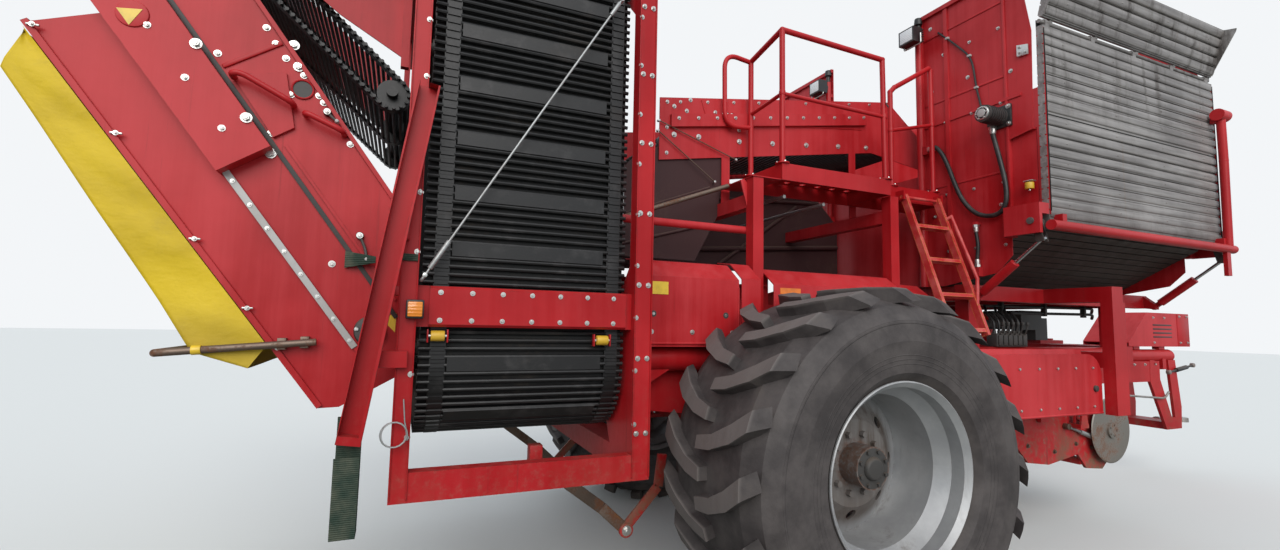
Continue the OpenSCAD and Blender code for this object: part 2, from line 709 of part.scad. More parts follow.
module elevator_web() {
  inset = belt_t / 2;
  run = 2 * (ring_w - 2 * ring_corner) + 2 * (ring_h - 2 * ring_corner) + 2 * PI * (ring_corner - inset);
  count = floor(run / ring_pitch);
  color(black) place() in_ring() {
    for (x = [10, ring_len / 2 - belt_w / 2, ring_len - belt_w - 10]) translate([0, 0, x]) {
      linear_extrude(belt_w) difference() {
        ring_outline(0);
        ring_outline(belt_t);
      }
      // Guide wheels in the four corners
      for (sx = [-1, 1], sy = [-1, 1])
        translate([sx * (ring_w / 2 - ring_corner), sy * (ring_h / 2 - ring_corner), 5]) difference() {
          cylinder(r = ring_corner - belt_t + 2, h = belt_w - 10);
          for (i = [0 : 4]) rotate([0, 0, i * 72]) translate([150, 0, -1]) cylinder(r = 70, h = belt_w);
        }
    }
    for (sx = [-1, 1], sy = [-1, 1])
      translate([sx * (ring_w / 2 - ring_corner), sy * (ring_h / 2 - ring_corner), -15 + seat])
        cylinder(d = 60, h = ring_len + 35 - 2 * seat);
    for (i = [0 : count - 1]) let(p = ring_at(i * run / count, inset))
      translate([p[0], p[1], 0]) {
        cylinder(d = bar_d, h = ring_len, $fn = 24);
        // A flat rubber carrier stands inwards on every sixth bar
        if (i % 6 == 0) rotate([0, 0, p[2]]) translate([-6, 2, 12 + belt_w])
          cube([12, 60, ring_len - 2 * belt_w - 24]);
      }
  }
}

module portal(x0, x1) {
  // Columns, sills and the gussets that carry the guide wheels' shafts
  both() {
    block([x0, -1075, 760], [x1, -1012, 3760]);
    plate_yz([[-1012, 1700], [-650, 1330], [-630, 1180], [-800, 870], [-1012, 870]], x0, x1 - x0);
    plate_yz([[-1012, 2900], [-650, 3260], [-630, 3420], [-800, 3690], [-1012, 3690]], x0, x1 - x0);
  }
  block([x0, -1075, 760], [x1, 1075, 870]);
  block([x0, -1075, 3690], [x1, 1075, 3760]);
}

module elevator_frame() {
  color(red) place() {
    portal(portal_f[0], portal_f[1]);
    portal(portal_r[0], portal_r[1]);
    both() {
      // Sill and cross panel outside the web
      block([portal_r[0], -1075, 760], [portal_f[1], -1012, 870]);
      block([portal_r[0], -1040, 1410], [portal_f[1], -1012, 1570]);
      plate_yz([[-1012, 1570], [-1040, 1570], [-1052, 1560], [-1052, 1420], [-1040, 1410], [-1012, 1410]],
        -1880, 820);
      block([portal_r[0], -1040, 3600], [portal_f[1], -1012, 3760]);
    }
  }
}

// REAR CHANNEL

strip_top = 1290;
// Upright front edge of the side panels, against the elevator's rear portal
chan_front = portal_r[0] - seat;
chan_front_s = (chan_foot[0] + chan_v[0] * chan_depth - chan_front) / -chan_u[0];

module rear_channel() {
  color(red) place() {
    both() {
      // Side panel: the outer strip ends below the head
      plate_xz([chan(chan_low, 60), chan(chan_low + 40, 0), chan(strip_top, 0), chan(strip_top - 50, 205),
        chan(chan_top, 205), chan(chan_top, chan_depth), chan(chan_front_s, chan_depth),
        [chan_front, 1208]], -chan_y, sheet);
      // Folded edges
      beam_xz(chan(chan_low + 40, 10), chan(strip_top, 10), 20, -chan_y - 12, 12 + sheet);
      beam_xz(chan(chan_front_s + 30, chan_depth - 8), chan(chan_top, chan_depth - 8), 16, -chan_y - 12, 12 + sheet);
      // Raised belt cover and the guide rail beside it
      plate_xz([chan(600, 205), chan(600, 395), chan(chan_top, 395), chan(chan_top, 205)],
        -chan_y - 65, 65);
      beam_xz(chan(-200, 226), chan(600, 226), 16, -chan_y - 10, 10);
      beam_xz(chan(-100, 440), chan(600, 440), 10, -chan_y - 8, 8);
      // Grab handle with its bracket
      plate_xz([chan(640, 420), chan(900, 430), chan(830, 590), chan(640, 500)], -chan_y - 14, 14);
      // Carrier from the elevator's rear portal
      block([chan_front - 90, -chan_y + 1, 1210], [chan_front, -chan_y + 50, 1290]);
      block([chan_front - 70, -1065, 1700], [chan_front, -chan_y + 3, 1780]);
    }
    // Cross beams below and above the web
    rod([chan(150, 30)[0], -chan_y + 1, chan(150, 30)[1]], [chan(150, 30)[0], chan_y - 1, chan(150, 30)[1]], 50);
    rod([chan(1200, 30)[0], -chan_y + 1, chan(1200, 30)[1]], [chan(1200, 30)[0], chan_y - 1, chan(1200, 30)[1]], 50);
    rod([chan(2300, 600)[0], -chan_y + 1, chan(2300, 600)[1]],
      [chan(2300, 600)[0], chan_y - 1, chan(2300, 600)[1]], 60);
    // Head hood
    translate([0, chan_y, 0]) rotate([90, 0, 0]) linear_extrude(2 * chan_y) polygon([
      chan(chan_top, 205), chan(chan_top + 5, 205), chan(chan_top + 5, chan_depth), chan(chan_top, chan_depth)]);
  }
}

module rear_web() {
  color(black) place()
    chain_web(chan(-150, 300), chan(2200, 300), 90, 2 * (chan_y - sheet - 15), 2 * (chan_y - sheet - seat),
      [-chan_y + 90, -320, 320, chan_y - 90]);
}

up_a = [-2960, 3290];
up_b = [-2070, 2490];
up_y = 600;

module upper_channel() {
  color(red) place() {
    both() {
      plate_xz([up_a + [-60, 30], up_a + [120, 330], [-2010, 2960], [-2010, 2640], [-2300, 2800]],
        -up_y - sheet, sheet);
      block([-2040, -up_y - 36, 2600], [-2005, -up_y, 3380]);
    }
    // Cross beam on the elevator's rear portal
    block([-2040, -1070, 3310], [portal_r[0] - seat, 1070, 3380]);
    rod([-2600, -up_y - 1, 3150], [-2600, up_y + 1, 3150], 60);
  }
}

module upper_web() {
  color(black) place()
    chain_web(up_b, up_a, 80, 2 * up_y - 30, 2 * up_y - 2 * seat, [-up_y + 60, 0, up_y - 60]);
}

// Tarpaulin hung under the rear channel, open at its foot
module tarp() {
  t = 5;
  edge = chan_y + 12 + seat;
  color("gold") place() {
    for (y = [-edge - t, edge])
      plate_xz([chan(strip_top - 20, -1), chan(1180, -120), [-2740, 1480], [-2640, 1310], [-2470, 1250],
        chan(0, -1), chan(0, 8), chan(strip_top - 20, 8)], y, t);
    translate([0, edge + t, 0]) rotate([90, 0, 0]) linear_extrude(2 * (edge + t))
      polygon([chan(strip_top - 20, -1), chan(1180, -120), [-2740, 1480], [-2640, 1310],
        [-2470, 1250], [-2470, 1256], [-2636, 1316], [-2734, 1484], chan(1180, -114), chan(strip_top - 24, -1)]);
  }
}

// PICKING TABLE AND PLATFORMS

table_y = 350;

module picking_table() {
  color(red) place() {
    both() {
      difference() {
        plate_xz([[-590, 2430], [-590, 2820], [1160, 3100], [1290, 3120], [1650, 2850], [1650, 2640],
          [1110, 2710]], -table_y - sheet, sheet);
        // Slotted hole and the double round hole
        plate_xz([[760, 2860], [820, 2869], [820, 2890], [760, 2881]], -table_y - sheet - 1, sheet + 2);
        translate([-120, 0, 2780]) rotate([90, 0, 0]) cylinder(d = 60, h = 1000);
        translate([-70, 0, 2788]) rotate([90, 0, 0]) cylinder(d = 40, h = 1000);
      }
      // Raised belt housing on the side plate
      plate_xz([[-520, 2640], [-520, 2720], [1050, 2980], [1050, 2900]], -table_y - sheet - 25, 25);
      // Legs on the frame of the platform
      block([-150, -table_y - sheet, 2200], [-90, -table_y - 0.001, 2520]);
      block([900, -table_y - sheet, 2200], [960, -table_y - 0.001, 2700]);
    }
    // Cross beams under the table, on the posts of the platforms
    for (x = [-170, 880]) block([x, -665 + seat, 2120], [x + 70, 665 - seat, 2200]);
  }
}

module table_web() {
  color(black) place()
    chain_web([-500, 2560], [1540, 2860], 70, 2 * table_y - 30, 2 * table_y - 2 * seat,
      [-table_y + 60, table_y - 60]);
}

deck_top = deck_z + 100;
deck_y = 750;
deck_end = 1430;

module deck(x0, x1, y0, y1) {
  nx = floor((x1 - x0 - 80) / 110);
  ny = floor((y1 - y0 - 60) / 90);
  difference() {
    block([x0, y0, deck_top - 8], [x1, y1, deck_top]);
    for (i = [0 : nx], j = [0 : ny])
      translate([x0 + 45 + i * (x1 - x0 - 90) / nx, y0 + 40 + j * (y1 - y0 - 80) / ny, deck_top - 9])
        cylinder(d = 45, h = 10, $fn = 24);
  }
}

module platforms() {
  color(red) place() both() {
    deck(20, 868, -deck_y, -372);
    deck(868, deck_end, -640, -372);
    // Fascia and end plates
    block([20, -deck_y, deck_z], [870, -deck_y + 6, deck_top]);
    block([20, -deck_y, deck_z], [26, -372, deck_top]);
    block([864, -deck_y, deck_z], [870, -372, deck_top]);
    block([864, -646, deck_z], [deck_end, -640, deck_top]);
    block([deck_end - 6, -646, deck_z], [deck_end, -372, deck_top]);
    block([20, -378, deck_z], [deck_end, -372, deck_top]);
    // Lugs of the ladder's hinge
    difference() {
      for (x = [1025, 1375]) block([x, ladder_hinge[0] - 22, deck_z], [x + 14, -640, deck_z + 60]);
      rod([1020, ladder_hinge[0], ladder_hinge[1]], [1400, ladder_hinge[0], ladder_hinge[1]], 20 + 2 * hub_run);
    }
    // Brackets on the posts
    block([-176, -742, deck_z], [26, -372, deck_z + 6]);
  }
}

module railings() {
  z0 = deck_top + seat;
  z1 = 3215;
  y = -deck_y + 25;
  color(red) place() both() {
    pipe_run([[40, y, z0], [40, y, z1], [840, y, z1 - 20], [850, y, z0]], hand_d);
    pipe_run([[40, y, z1], [40, -400, z1 - 60], [40, -400, z0]], hand_d);
    rod([40, y, 2820], [845, y, 2810], hand_d * 0.7);
    rod([40, y, 2820], [40, -400, 2800], hand_d * 0.7);
    // Gate rails beside the ladder
    pipe_run([[1020, -620, z0], [1020, -620, 3050], [1060, -620, 3090], [1390, -620, 3290],
      [1410, -620, 3275], [1410, -620, z0]], hand_d);
    rod([1020, -620, 2780], [1410, -620, 2880], hand_d * 0.7);
  }
}

// LADDER

ladder_hinge = [-690, 2310];
ladder_lean = 19.7;

module ladder() {
  color(red) place() translate([0, ladder_hinge[0], ladder_hinge[1]]) rotate([-ladder_lean, 0, 0]) {
    for (x = [1044, 1346]) block([x, -22, -960], [x + 24, 22, 12]);
    for (z = [-220, -460, -700, -930]) block([1067, -18, z - 12], [1347, 18, z + 12]);
    rod([1027, 0, 0], [1387, 0, 0], 20);
    pipe_run([[1358, -15, -150], [1380, -45, -140], [1381, -60, -600], [1358, -15, -760]], 22);
  }
}

// BUNKER

wall_foot = beam_z1 + seat;
notch_y = 450;
notch_z = 2560;
// Right edge of the end walls, from the slope's end to the top
wall_right = [[-1100, 1908], [-1095, 2640], [-1250, 2670], [-1262, 3290], [-1190, bunker_z1]];
wall_left = [[1200, bunker_z1], [1200, 2050], [620, wall_foot], [-620, wall_foot], [-1000, 1806]];
bracket_w = 25;
bracket_x = [bunker_x0 - 90, bunker_x1 + 65];

// Bearing of the gate's hinge on the end wall, x0 to x1 along its block
module hinge_bracket(x, wall_from, wall_to) {
  difference() {
    block([x, -1322, gate_z - 75], [x + bracket_w, -1110, gate_z + 105]);
    rod([x - 1, -gate_y, gate_z], [x + bracket_w + 1, -gate_y, gate_z], 40 + 2 * hub_run);
  }
  block([wall_from, -1322, gate_z + 40], [wall_to, -1110, gate_z + 105]);
  block([wall_from, -1135, gate_z - 75], [wall_to, -1085, gate_z + 70]);
}

module bunker_box() {
  color(red) place() {
    // Rear wall with the notch where the picking table comes in
    plate_yz(concat(wall_right, [[-notch_y, bunker_z1], [-notch_y, notch_z], [notch_y, notch_z],
      [notch_y, bunker_z1]], wall_left), bunker_x0, sheet);
    plate_yz(concat(wall_right, wall_left), bunker_x1 - sheet, sheet);
    // Recessed plates between the walls' edges and the gate
    for (x = [bunker_x0, bunker_x1 - 30]) {
      plate_yz([[-1105, 2125], [-1255, 2125], [-1255, 2680], [-1105, 2680]], x + (x > bunker_x0 ? 0 : 24), 6);
      block([x, -1105, 2125], [x + 30, -1093, 2680]);
      block([x, -1255, 2668], [x + 30, -1093, 2680]);
    }
    // Left wall and its slope
    block([bunker_x0, 1194, 2050], [bunker_x1, 1200, bunker_z1]);
    plate_yz([[1200, 2050], [620, wall_foot], [612, wall_foot], [612, wall_foot + 6], [1194, 2058]],
      bunker_x0, bunker_x1 - bunker_x0);
    // Ribs and the folded top edges
    for (x = [bunker_x0 - 20, bunker_x1]) both() {
      plate_yz([[-1198, bunker_z1 - 30], [-1190, bunker_z1], [-notch_y - 2, bunker_z1],
        [-notch_y - 2, bunker_z1 - 30]], x, 20);
    }
    for (x = [bunker_x0 - 8, bunker_x1]) both()
      block([x, -1190, 2900], [x + 8, -notch_y - 2, 2920]);
    for (x = [[bunker_x0 - 12, bunker_x0], [bunker_x1, bunker_x1 + 30]], y = [-700, 700])
      block([x[0], y, 1900], [x[1], y + 30, bunker_z1 - 20]);
    hinge_bracket(bracket_x[0], bracket_x[0] + bracket_w - 1, bunker_x0 + 1);
    hinge_bracket(bracket_x[1], bunker_x1 - 1, bracket_x[1] + 1);
    for (x = [1900, 2500, 3100]) block([x, 1199, 2100], [x + 50, 1240, bunker_z1 - 20]);
    // Poles beside the rear wall, tied to it
    both() {
      rod([bunker_x0 - 30, -notch_y - 30, wall_foot], [bunker_x0 - 30, -notch_y - 30, 3640], 50);
      for (z = [1900, 2800, 3500]) block([bunker_x0 - 20, -notch_y - 45, z], [bunker_x0 + 1, -notch_y - 5, z + 30]);
    }
    // Ports and clamps of the hanging hoses
    block([hose_x - 14, -545, 2700], [bunker_x0 - 20, -500, 2760]);
    block([hose_x - 14, -900, drop_top], [bunker_x0 + 1, -872, drop_top + 18]);
    block([hose_x - 14, -905, drop_foot - 60], [bunker_x0 + 1, -870, drop_foot]);
    block([bunker_x0 - 8, -905, drop_foot - 60], [bunker_x0 + 1, -870, 1900]);
  }
}

// Slatted conveyor floor: flat across the bottom, then rising to the gate
slat = 62;

module slat_strip(a, b, t) {
  // Slats of thickness t on the left of the way from a to b, with grooves in both faces
  v = b - a;
  n = round(norm(v) / slat);
  u = v / n;
  w = [-u[1], u[0]] / norm(u);
  polygon(concat(
    [for (i = [0 : n - 1], k = [0 : 3])
      a + u * (i + [0, 0.14, 0.14, 1][k]) + w * [t - 8, t - 8, t, t][k]],
    [for (i = [n - 1 : -1 : 0], k = [3 : -1 : 0])
      a + u * (i + [0, 0.14, 0.14, 1][k]) + w * [8, 8, 0, 0][k]]));
}

floor_right = [-1192, 2068];

module bunker_floor() {
  color(grey) place() translate([bunker_x0 + sheet + seat, 0, 0]) rotate([90, 0, 90])
    linear_extrude(bunker_x1 - bunker_x0 - 2 * sheet - 2 * seat) {
      slat_strip([-600, wall_foot], [605, wall_foot], 36);
      slat_strip(floor_right, [-600, wall_foot], 36);
    }
}

gate_x0 = bunker_x0 + sheet + 6;
gate_x1 = bunker_x1 - sheet - 6;
gate_split = 650;

module bunker_gate() {
  color(grey) place() {
    translate([gate_x0, 0, 0]) rotate([90, 0, 90]) linear_extrude(gate_x1 - gate_x0) {
      slat_strip([-gate_y - 8, gate_z], [-gate_y - 8, gate_z + gate_split], 38);
      slat_strip([-gate_y - 8, gate_z + gate_split], [-gate_y - 14, gate_z + gate_h], 38);
    }
    // Hinge tube, its journals and the cheeks of the gate's cylinders
    rod([bracket_x[0] - 8, -gate_y, gate_z], [gate_x0 + 2, -gate_y, gate_z], 40);
    rod([gate_x1 - 2, -gate_y, gate_z], [bracket_x[1] + bracket_w + 8, -gate_y, gate_z], 40);
    rod([gate_x0, -gate_y, gate_z], [gate_x1, -gate_y, gate_z], 50);
    for (x = flap_knuckles) difference() {
      union() {
        block([x - 20, flap_hinge[0] - 16, flap_hinge[1] - 45], [x + 20, flap_hinge[0] + 14, flap_hinge[1]]);
        rod([x - 20, flap_hinge[0], flap_hinge[1]], [x + 20, flap_hinge[0], flap_hinge[1]], 36);
      }
      rod([x - 21, flap_hinge[0], flap_hinge[1]], [x + 21, flap_hinge[0], flap_hinge[1]], 24 + 2 * hub_run);
    }
    for (x = gate_cyl_x, dx = [-23, 13])
      plate_yz([[-gate_y - 22, gate_z + 10], [-gate_y + 22, gate_z + 10], [gate_lug[0] + 22, gate_lug[1] - 20],
        [gate_lug[0] - 22, gate_lug[1] - 20]], x + dx, 10);
  }
}

pipe_y = -gate_y - 95;
pipe_z = gate_z - 35;
gate_cyl_x = [bunker_x0 - 35, bunker_x1 + 35];
gate_lug = [-1300, 1985];
gate_base = [-880, 1650];

module gate_pipes() {
  color(red) place() {
    rod([bunker_x0 - 60, pipe_y, pipe_z], [bunker_x1 + 20, pipe_y, pipe_z], 60);
    pipe_run([[gate_x1 - 30, pipe_y, pipe_z], [gate_x1 - 35, pipe_y - 8, 2700], [gate_x1 - 60, pipe_y - 16, 3030]], 52);
    rod([gate_x1 - 110, pipe_y - 16, 3030], [gate_x1, pipe_y - 16, 3030], 85);
    // Brackets onto the gate's outer face
    for (x = [gate_x0 + 40, gate_x1 - 90])
      block([x, pipe_y, gate_z - 20], [x + 40, -gate_y - 46 - seat, gate_z + 40]);
    block([gate_x1 - 80, pipe_y, 2980], [gate_x1 - 40, -gate_y - 58 - seat, 3020]);
    // Stop plate that hangs below the pipe's front end
    block([bunker_x1 - 100, pipe_y - 12, 1860], [bunker_x1 - 50, pipe_y + 12, pipe_z]);
  }
}

flap_hinge = [-gate_y - 30, gate_z + gate_h + 32];
flap_knuckles = [for (i = [0 : 4]) gate_x0 + 60 + i * (gate_x1 - gate_x0 - 120) / 4];

module bunker_flap() {
  color(grey) place() translate([0, flap_hinge[0], flap_hinge[1]]) rotate([flap_tilt, 0, 0]) {
    translate([gate_x0, 0, 0]) rotate([90, 0, 90]) linear_extrude(gate_x1 - gate_x0)
      slat_strip([12, 24], [12, flap_h], 36);
    rod([gate_x0, 0, 0], [gate_x1, 0, 0], 24);
    for (x = flap_knuckles) block([x + 26, -10, 0], [x + 56, 8, 33]);
    for (x = [gate_x0, gate_x1 - 8])
      plate_yz([[-20, 40], [-95, flap_h - 20], [-95, flap_h], [-20, flap_h]], x, 8);
  }
}

gate_len = norm(gate_lug - gate_base);
gate_ang = atan2(gate_lug[1] - gate_base[1], gate_lug[0] - gate_base[0]);

module gate_barrels() {
  color(red) place() for (x = gate_cyl_x) translate([x, gate_base[0], gate_base[1]])
    rotate([gate_ang, 0, 0]) rotate([0, 0, 90]) {
      cyl_barrel(gate_len - 210, 56, 22, 22);
      rotate([90, 0, 0]) translate([0, 0, -13 + seat]) cylinder(r = 14, h = 26 - 2 * seat);
    }
}

module gate_rods() {
  color(steel) place() for (x = gate_cyl_x) translate([x, gate_lug[0], gate_lug[1]])
    rotate([gate_ang, 0, 0]) rotate([0, 0, 90]) cyl_rod(gate_len - 160, 22, 22, 0);
}

// SMALL PIECES

motor_at = [-1060, 2800];
motor_port = 2750;
hose_x = bunker_x0 - 29;
drop_top = 2130;
drop_foot = 1850;

module drive_motors() {
  color(black) place() {
    rod([bunker_x0 - seat, motor_at[0], motor_at[1]], [bunker_x0 - 180, motor_at[0], motor_at[1]], 105);
    rod([bunker_x0 - 179, motor_at[0], motor_at[1]], [bunker_x0 - 190, motor_at[0], motor_at[1]], 70);
    block([hose_x - 22, motor_at[0] + 20, motor_port], [hose_x + 20, motor_at[0] + 60, motor_at[1]]);
  }
}

module work_lamps() {
  color(black) place() both() {
    block([bunker_x0 - 85, -notch_y - 75, 3560], [bunker_x0 - 55 - seat, -notch_y - 5, 3600]);
    block([bunker_x0 - 175, -notch_y - 110, 3520], [bunker_x0 - 84, -notch_y + 20, 3630]);
  }
}

guard_top = [-1925, 2330];
guard_foot = [-2125, 1000];

module side_guard() {
  color(red) place() {
    difference() {
      beam_xz(guard_foot, guard_top, 80, -1170, 60);
      beam_xz(guard_foot + [0, 30], guard_top, 66, -1171, 54);
    }
    // Brackets on the elevator's column
    for (z = [1260, 2200]) let(x = guard_foot[0] + (z - guard_foot[1]) * 0.1504)
      block([x - 10, -1116, z], [portal_r[0] + 40, -1075 - seat, z + 60]);
  }
}

module rubber_strap() {
  color("#1e4034") place() {
    difference() {
      block([-2165, -1178, 690], [-2085, -1110 + seat + 8, 1090]);
      block([-2166, -1170, 698], [-2084, -1110 + seat, 1091]);
      block([-2166, -1179, 960], [-2084, -1169, 1091]);
    }
  }
}

// Hydraulic hoses that hang between their ports
motor_hose_points = [for (p = [[-1020, motor_port], [-1020, 2730], [-1020, 2700], [-1060, 2520], [-1090, 2360],
  [-1090, 2250], [-1050, 2185], [-970, 2175], [-880, 2215], [-800, 2310], [-745, 2430], [-695, 2570],
  [-650, 2670], [-605, 2730], [-575, 2730], [-545, 2730]]) [hose_x, p[0], p[1]]];
drop_hose_points = [for (p = [[-886, drop_top], [-886, 2110], [-886, 2080], [-896, 1990], [-888, 1900],
  [-888, 1870], [-888, drop_foot]]) [hose_x, p[0], p[1]]];

// Point on the smooth curve through four neighbours
function curve_at(p0, p1, p2, p3, t) = 0.5 * (2 * p1 + (p2 - p0) * t
  + (2 * p0 - 5 * p1 + 4 * p2 - p3) * t * t + (3 * p1 - p0 - 3 * p2 + p3) * t * t * t);
function route(points, steps) = let(n = len(points))
  concat([for (i = [0 : n - 2], k = [0 : steps - 1]) curve_at(points[max(i - 1, 0)], points[i],
    points[i + 1], points[min(i + 2, n - 1)], k / steps)], [points[n - 1]]);

module hose(points, d) {
  path = route(points, 4);
  n = len(path);
  sides = 8;
  ring = [for (i = [0 : n - 1]) let(
      t0 = path[min(i + 1, n - 1)] - path[max(i - 1, 0)], t = t0 / norm(t0),
      a = [1, 0, 0], b = cross(t, a))
    for (k = [0 : sides - 1]) path[i] + (a * cos(k * 360 / sides) + b * sin(k * 360 / sides)) * d / 2];
  faces = concat(
    [for (i = [0 : n - 2], k = [0 : sides - 1]) let(k2 = (k + 1) % sides)
      [i * sides + k, i * sides + k2, (i + 1) * sides + k2, (i + 1) * sides + k]],
    [[for (k = [sides - 1 : -1 : 0]) k]], [[for (k = [0 : sides - 1]) (n - 1) * sides + k]]);
  polyhedron(ring, faces);
}

module motor_hose() { color(black) place() hose(motor_hose_points, 30); }
module drop_hose() { color(black) place() hose(drop_hose_points, 24); }

main_frame();
axle_beam();
rim_right();
tyre_right();
rim_left();
tyre_left();
drawbar();
hitch_ring();
jack_leg();
pto_drive();
front_hood();
intake_frame();
intake_web();
coulters();
ridge_rollers();
lift_barrels();
lift_rods();
steer_barrel();
steer_rod();
main_web();
web_sides();
side_shields();
side_covers();
elevator_frame();
elevator_web();
rear_channel();
rear_web();
upper_channel();
upper_web();
tarp();
picking_table();
table_web();
platforms();
railings();
ladder();
bunker_box();
bunker_floor();
bunker_gate();
gate_pipes();
bunker_flap();
gate_barrels();
gate_rods();
drive_motors();
work_lamps();
side_guard();
rubber_strap();
motor_hose();
drop_hose();
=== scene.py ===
"""Looks of the trailed potato harvester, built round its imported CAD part."""

import math

import bmesh
import bpy
from mathutils import Matrix, Vector, noise


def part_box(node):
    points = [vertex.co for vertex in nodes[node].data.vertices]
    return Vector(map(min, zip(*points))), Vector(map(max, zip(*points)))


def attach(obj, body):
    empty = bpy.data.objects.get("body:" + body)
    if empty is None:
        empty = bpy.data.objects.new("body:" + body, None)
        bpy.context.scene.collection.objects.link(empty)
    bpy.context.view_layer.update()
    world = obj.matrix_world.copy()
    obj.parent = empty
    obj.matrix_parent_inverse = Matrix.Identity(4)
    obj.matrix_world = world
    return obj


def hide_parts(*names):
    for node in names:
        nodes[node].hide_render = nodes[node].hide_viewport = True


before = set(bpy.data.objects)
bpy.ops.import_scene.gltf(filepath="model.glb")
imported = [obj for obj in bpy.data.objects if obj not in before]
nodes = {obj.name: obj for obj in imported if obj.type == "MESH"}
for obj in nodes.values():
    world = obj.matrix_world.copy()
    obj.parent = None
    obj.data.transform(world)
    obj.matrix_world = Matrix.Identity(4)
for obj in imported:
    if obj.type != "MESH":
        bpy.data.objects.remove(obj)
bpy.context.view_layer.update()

# The source measures in millimetres from the axle line on the ground, forwards, left and up
rim_low, rim_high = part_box("rim_right")
AXLE_X = (rim_low.x + rim_high.x) / 2
AXLE_Z = (rim_low.z + rim_high.z) / 2
MM = 0.001


def at(x, y, z):
    """Point in the scene's metres from the source's millimetres."""
    return Vector((AXLE_X + x * MM, y * MM, z * MM))


SIDE_WORDS = ("right", "left")


def both_sides():
    """For the right and then the left side: its sign, the way out, and at() with y counted outwards."""
    for side in (-1, 1):
        yield side, Vector((0, side, 0)), lambda x, y, z, side=side: at(x, side * y, z)


WHEEL_MIDDLE = 1250


def wheel_centre(side):
    return at(0, side * WHEEL_MIDDLE, AXLE_Z / MM)


# Camera at the photograph's place and angle
CAMERA_AT = (-1983, -3367, 1441)
CAMERA_YAW = 23.09
CAMERA_PITCH = 4.91
CAMERA_ROLL = 1.16
PHOTO_WIDTH = 1280
FOCAL_PIXELS = 559.4
SENSOR = 36.0


def add_camera():
    yaw, pitch, roll = (math.radians(a) for a in (CAMERA_YAW, CAMERA_PITCH, CAMERA_ROLL))
    ahead = Vector((math.sin(yaw) * math.cos(pitch), math.cos(yaw) * math.cos(pitch), math.sin(pitch)))
    level = Vector((math.cos(yaw), -math.sin(yaw), 0))
    above = level.cross(ahead)
    right = level * math.cos(roll) + above * math.sin(roll)
    up = above * math.cos(roll) - level * math.sin(roll)
    data = bpy.data.cameras.new("view")
    data.sensor_width = SENSOR
    data.lens = FOCAL_PIXELS / PHOTO_WIDTH * SENSOR
    data.clip_end = 200
    camera = bpy.data.objects.new("view", data)
    camera.matrix_world = Matrix.Translation(at(*CAMERA_AT)) @ Matrix((right, up, -ahead)).transposed().to_4x4()
    bpy.context.scene.collection.objects.link(camera)
    bpy.context.scene.camera = camera


# Materials


class Wire:
    """A value in one material's node tree, with arithmetic that adds Math nodes."""

    def __init__(self, finish, socket):
        self.finish = finish
        self.socket = socket

    def _math(self, operation, first, second=None):
        values = {0: first} if second is None else {0: first, 1: second}
        return self.finish.node("ShaderNodeMath", {"operation": operation}, values)

    def __add__(self, other):
        return self._math("ADD", self, other)

    __radd__ = __add__

    def __mul__(self, other):
        return self._math("MULTIPLY", self, other)

    __rmul__ = __mul__

    def __sub__(self, other):
        return self._math("SUBTRACT", self, other)

    def __rsub__(self, other):
        return self._math("SUBTRACT", other, self)

    def __truediv__(self, other):
        return self._math("DIVIDE", self, other)

    def __pow__(self, other):
        return self._math("POWER", self, other)

    def sine(self):
        return self._math("SINE", self)

    def size(self):
        return self._math("ABSOLUTE", self)

    def most(self, other):
        return self._math("MAXIMUM", self, other)

    def rise(self, low, high):
        """0 below low, 1 above high and smooth between; the other way round if low is above high."""
        return self.finish.node("ShaderNodeMapRange", {"interpolation_type": "SMOOTHSTEP", "clamp": True},
                                {"Value": self, "From Min": low, "From Max": high})


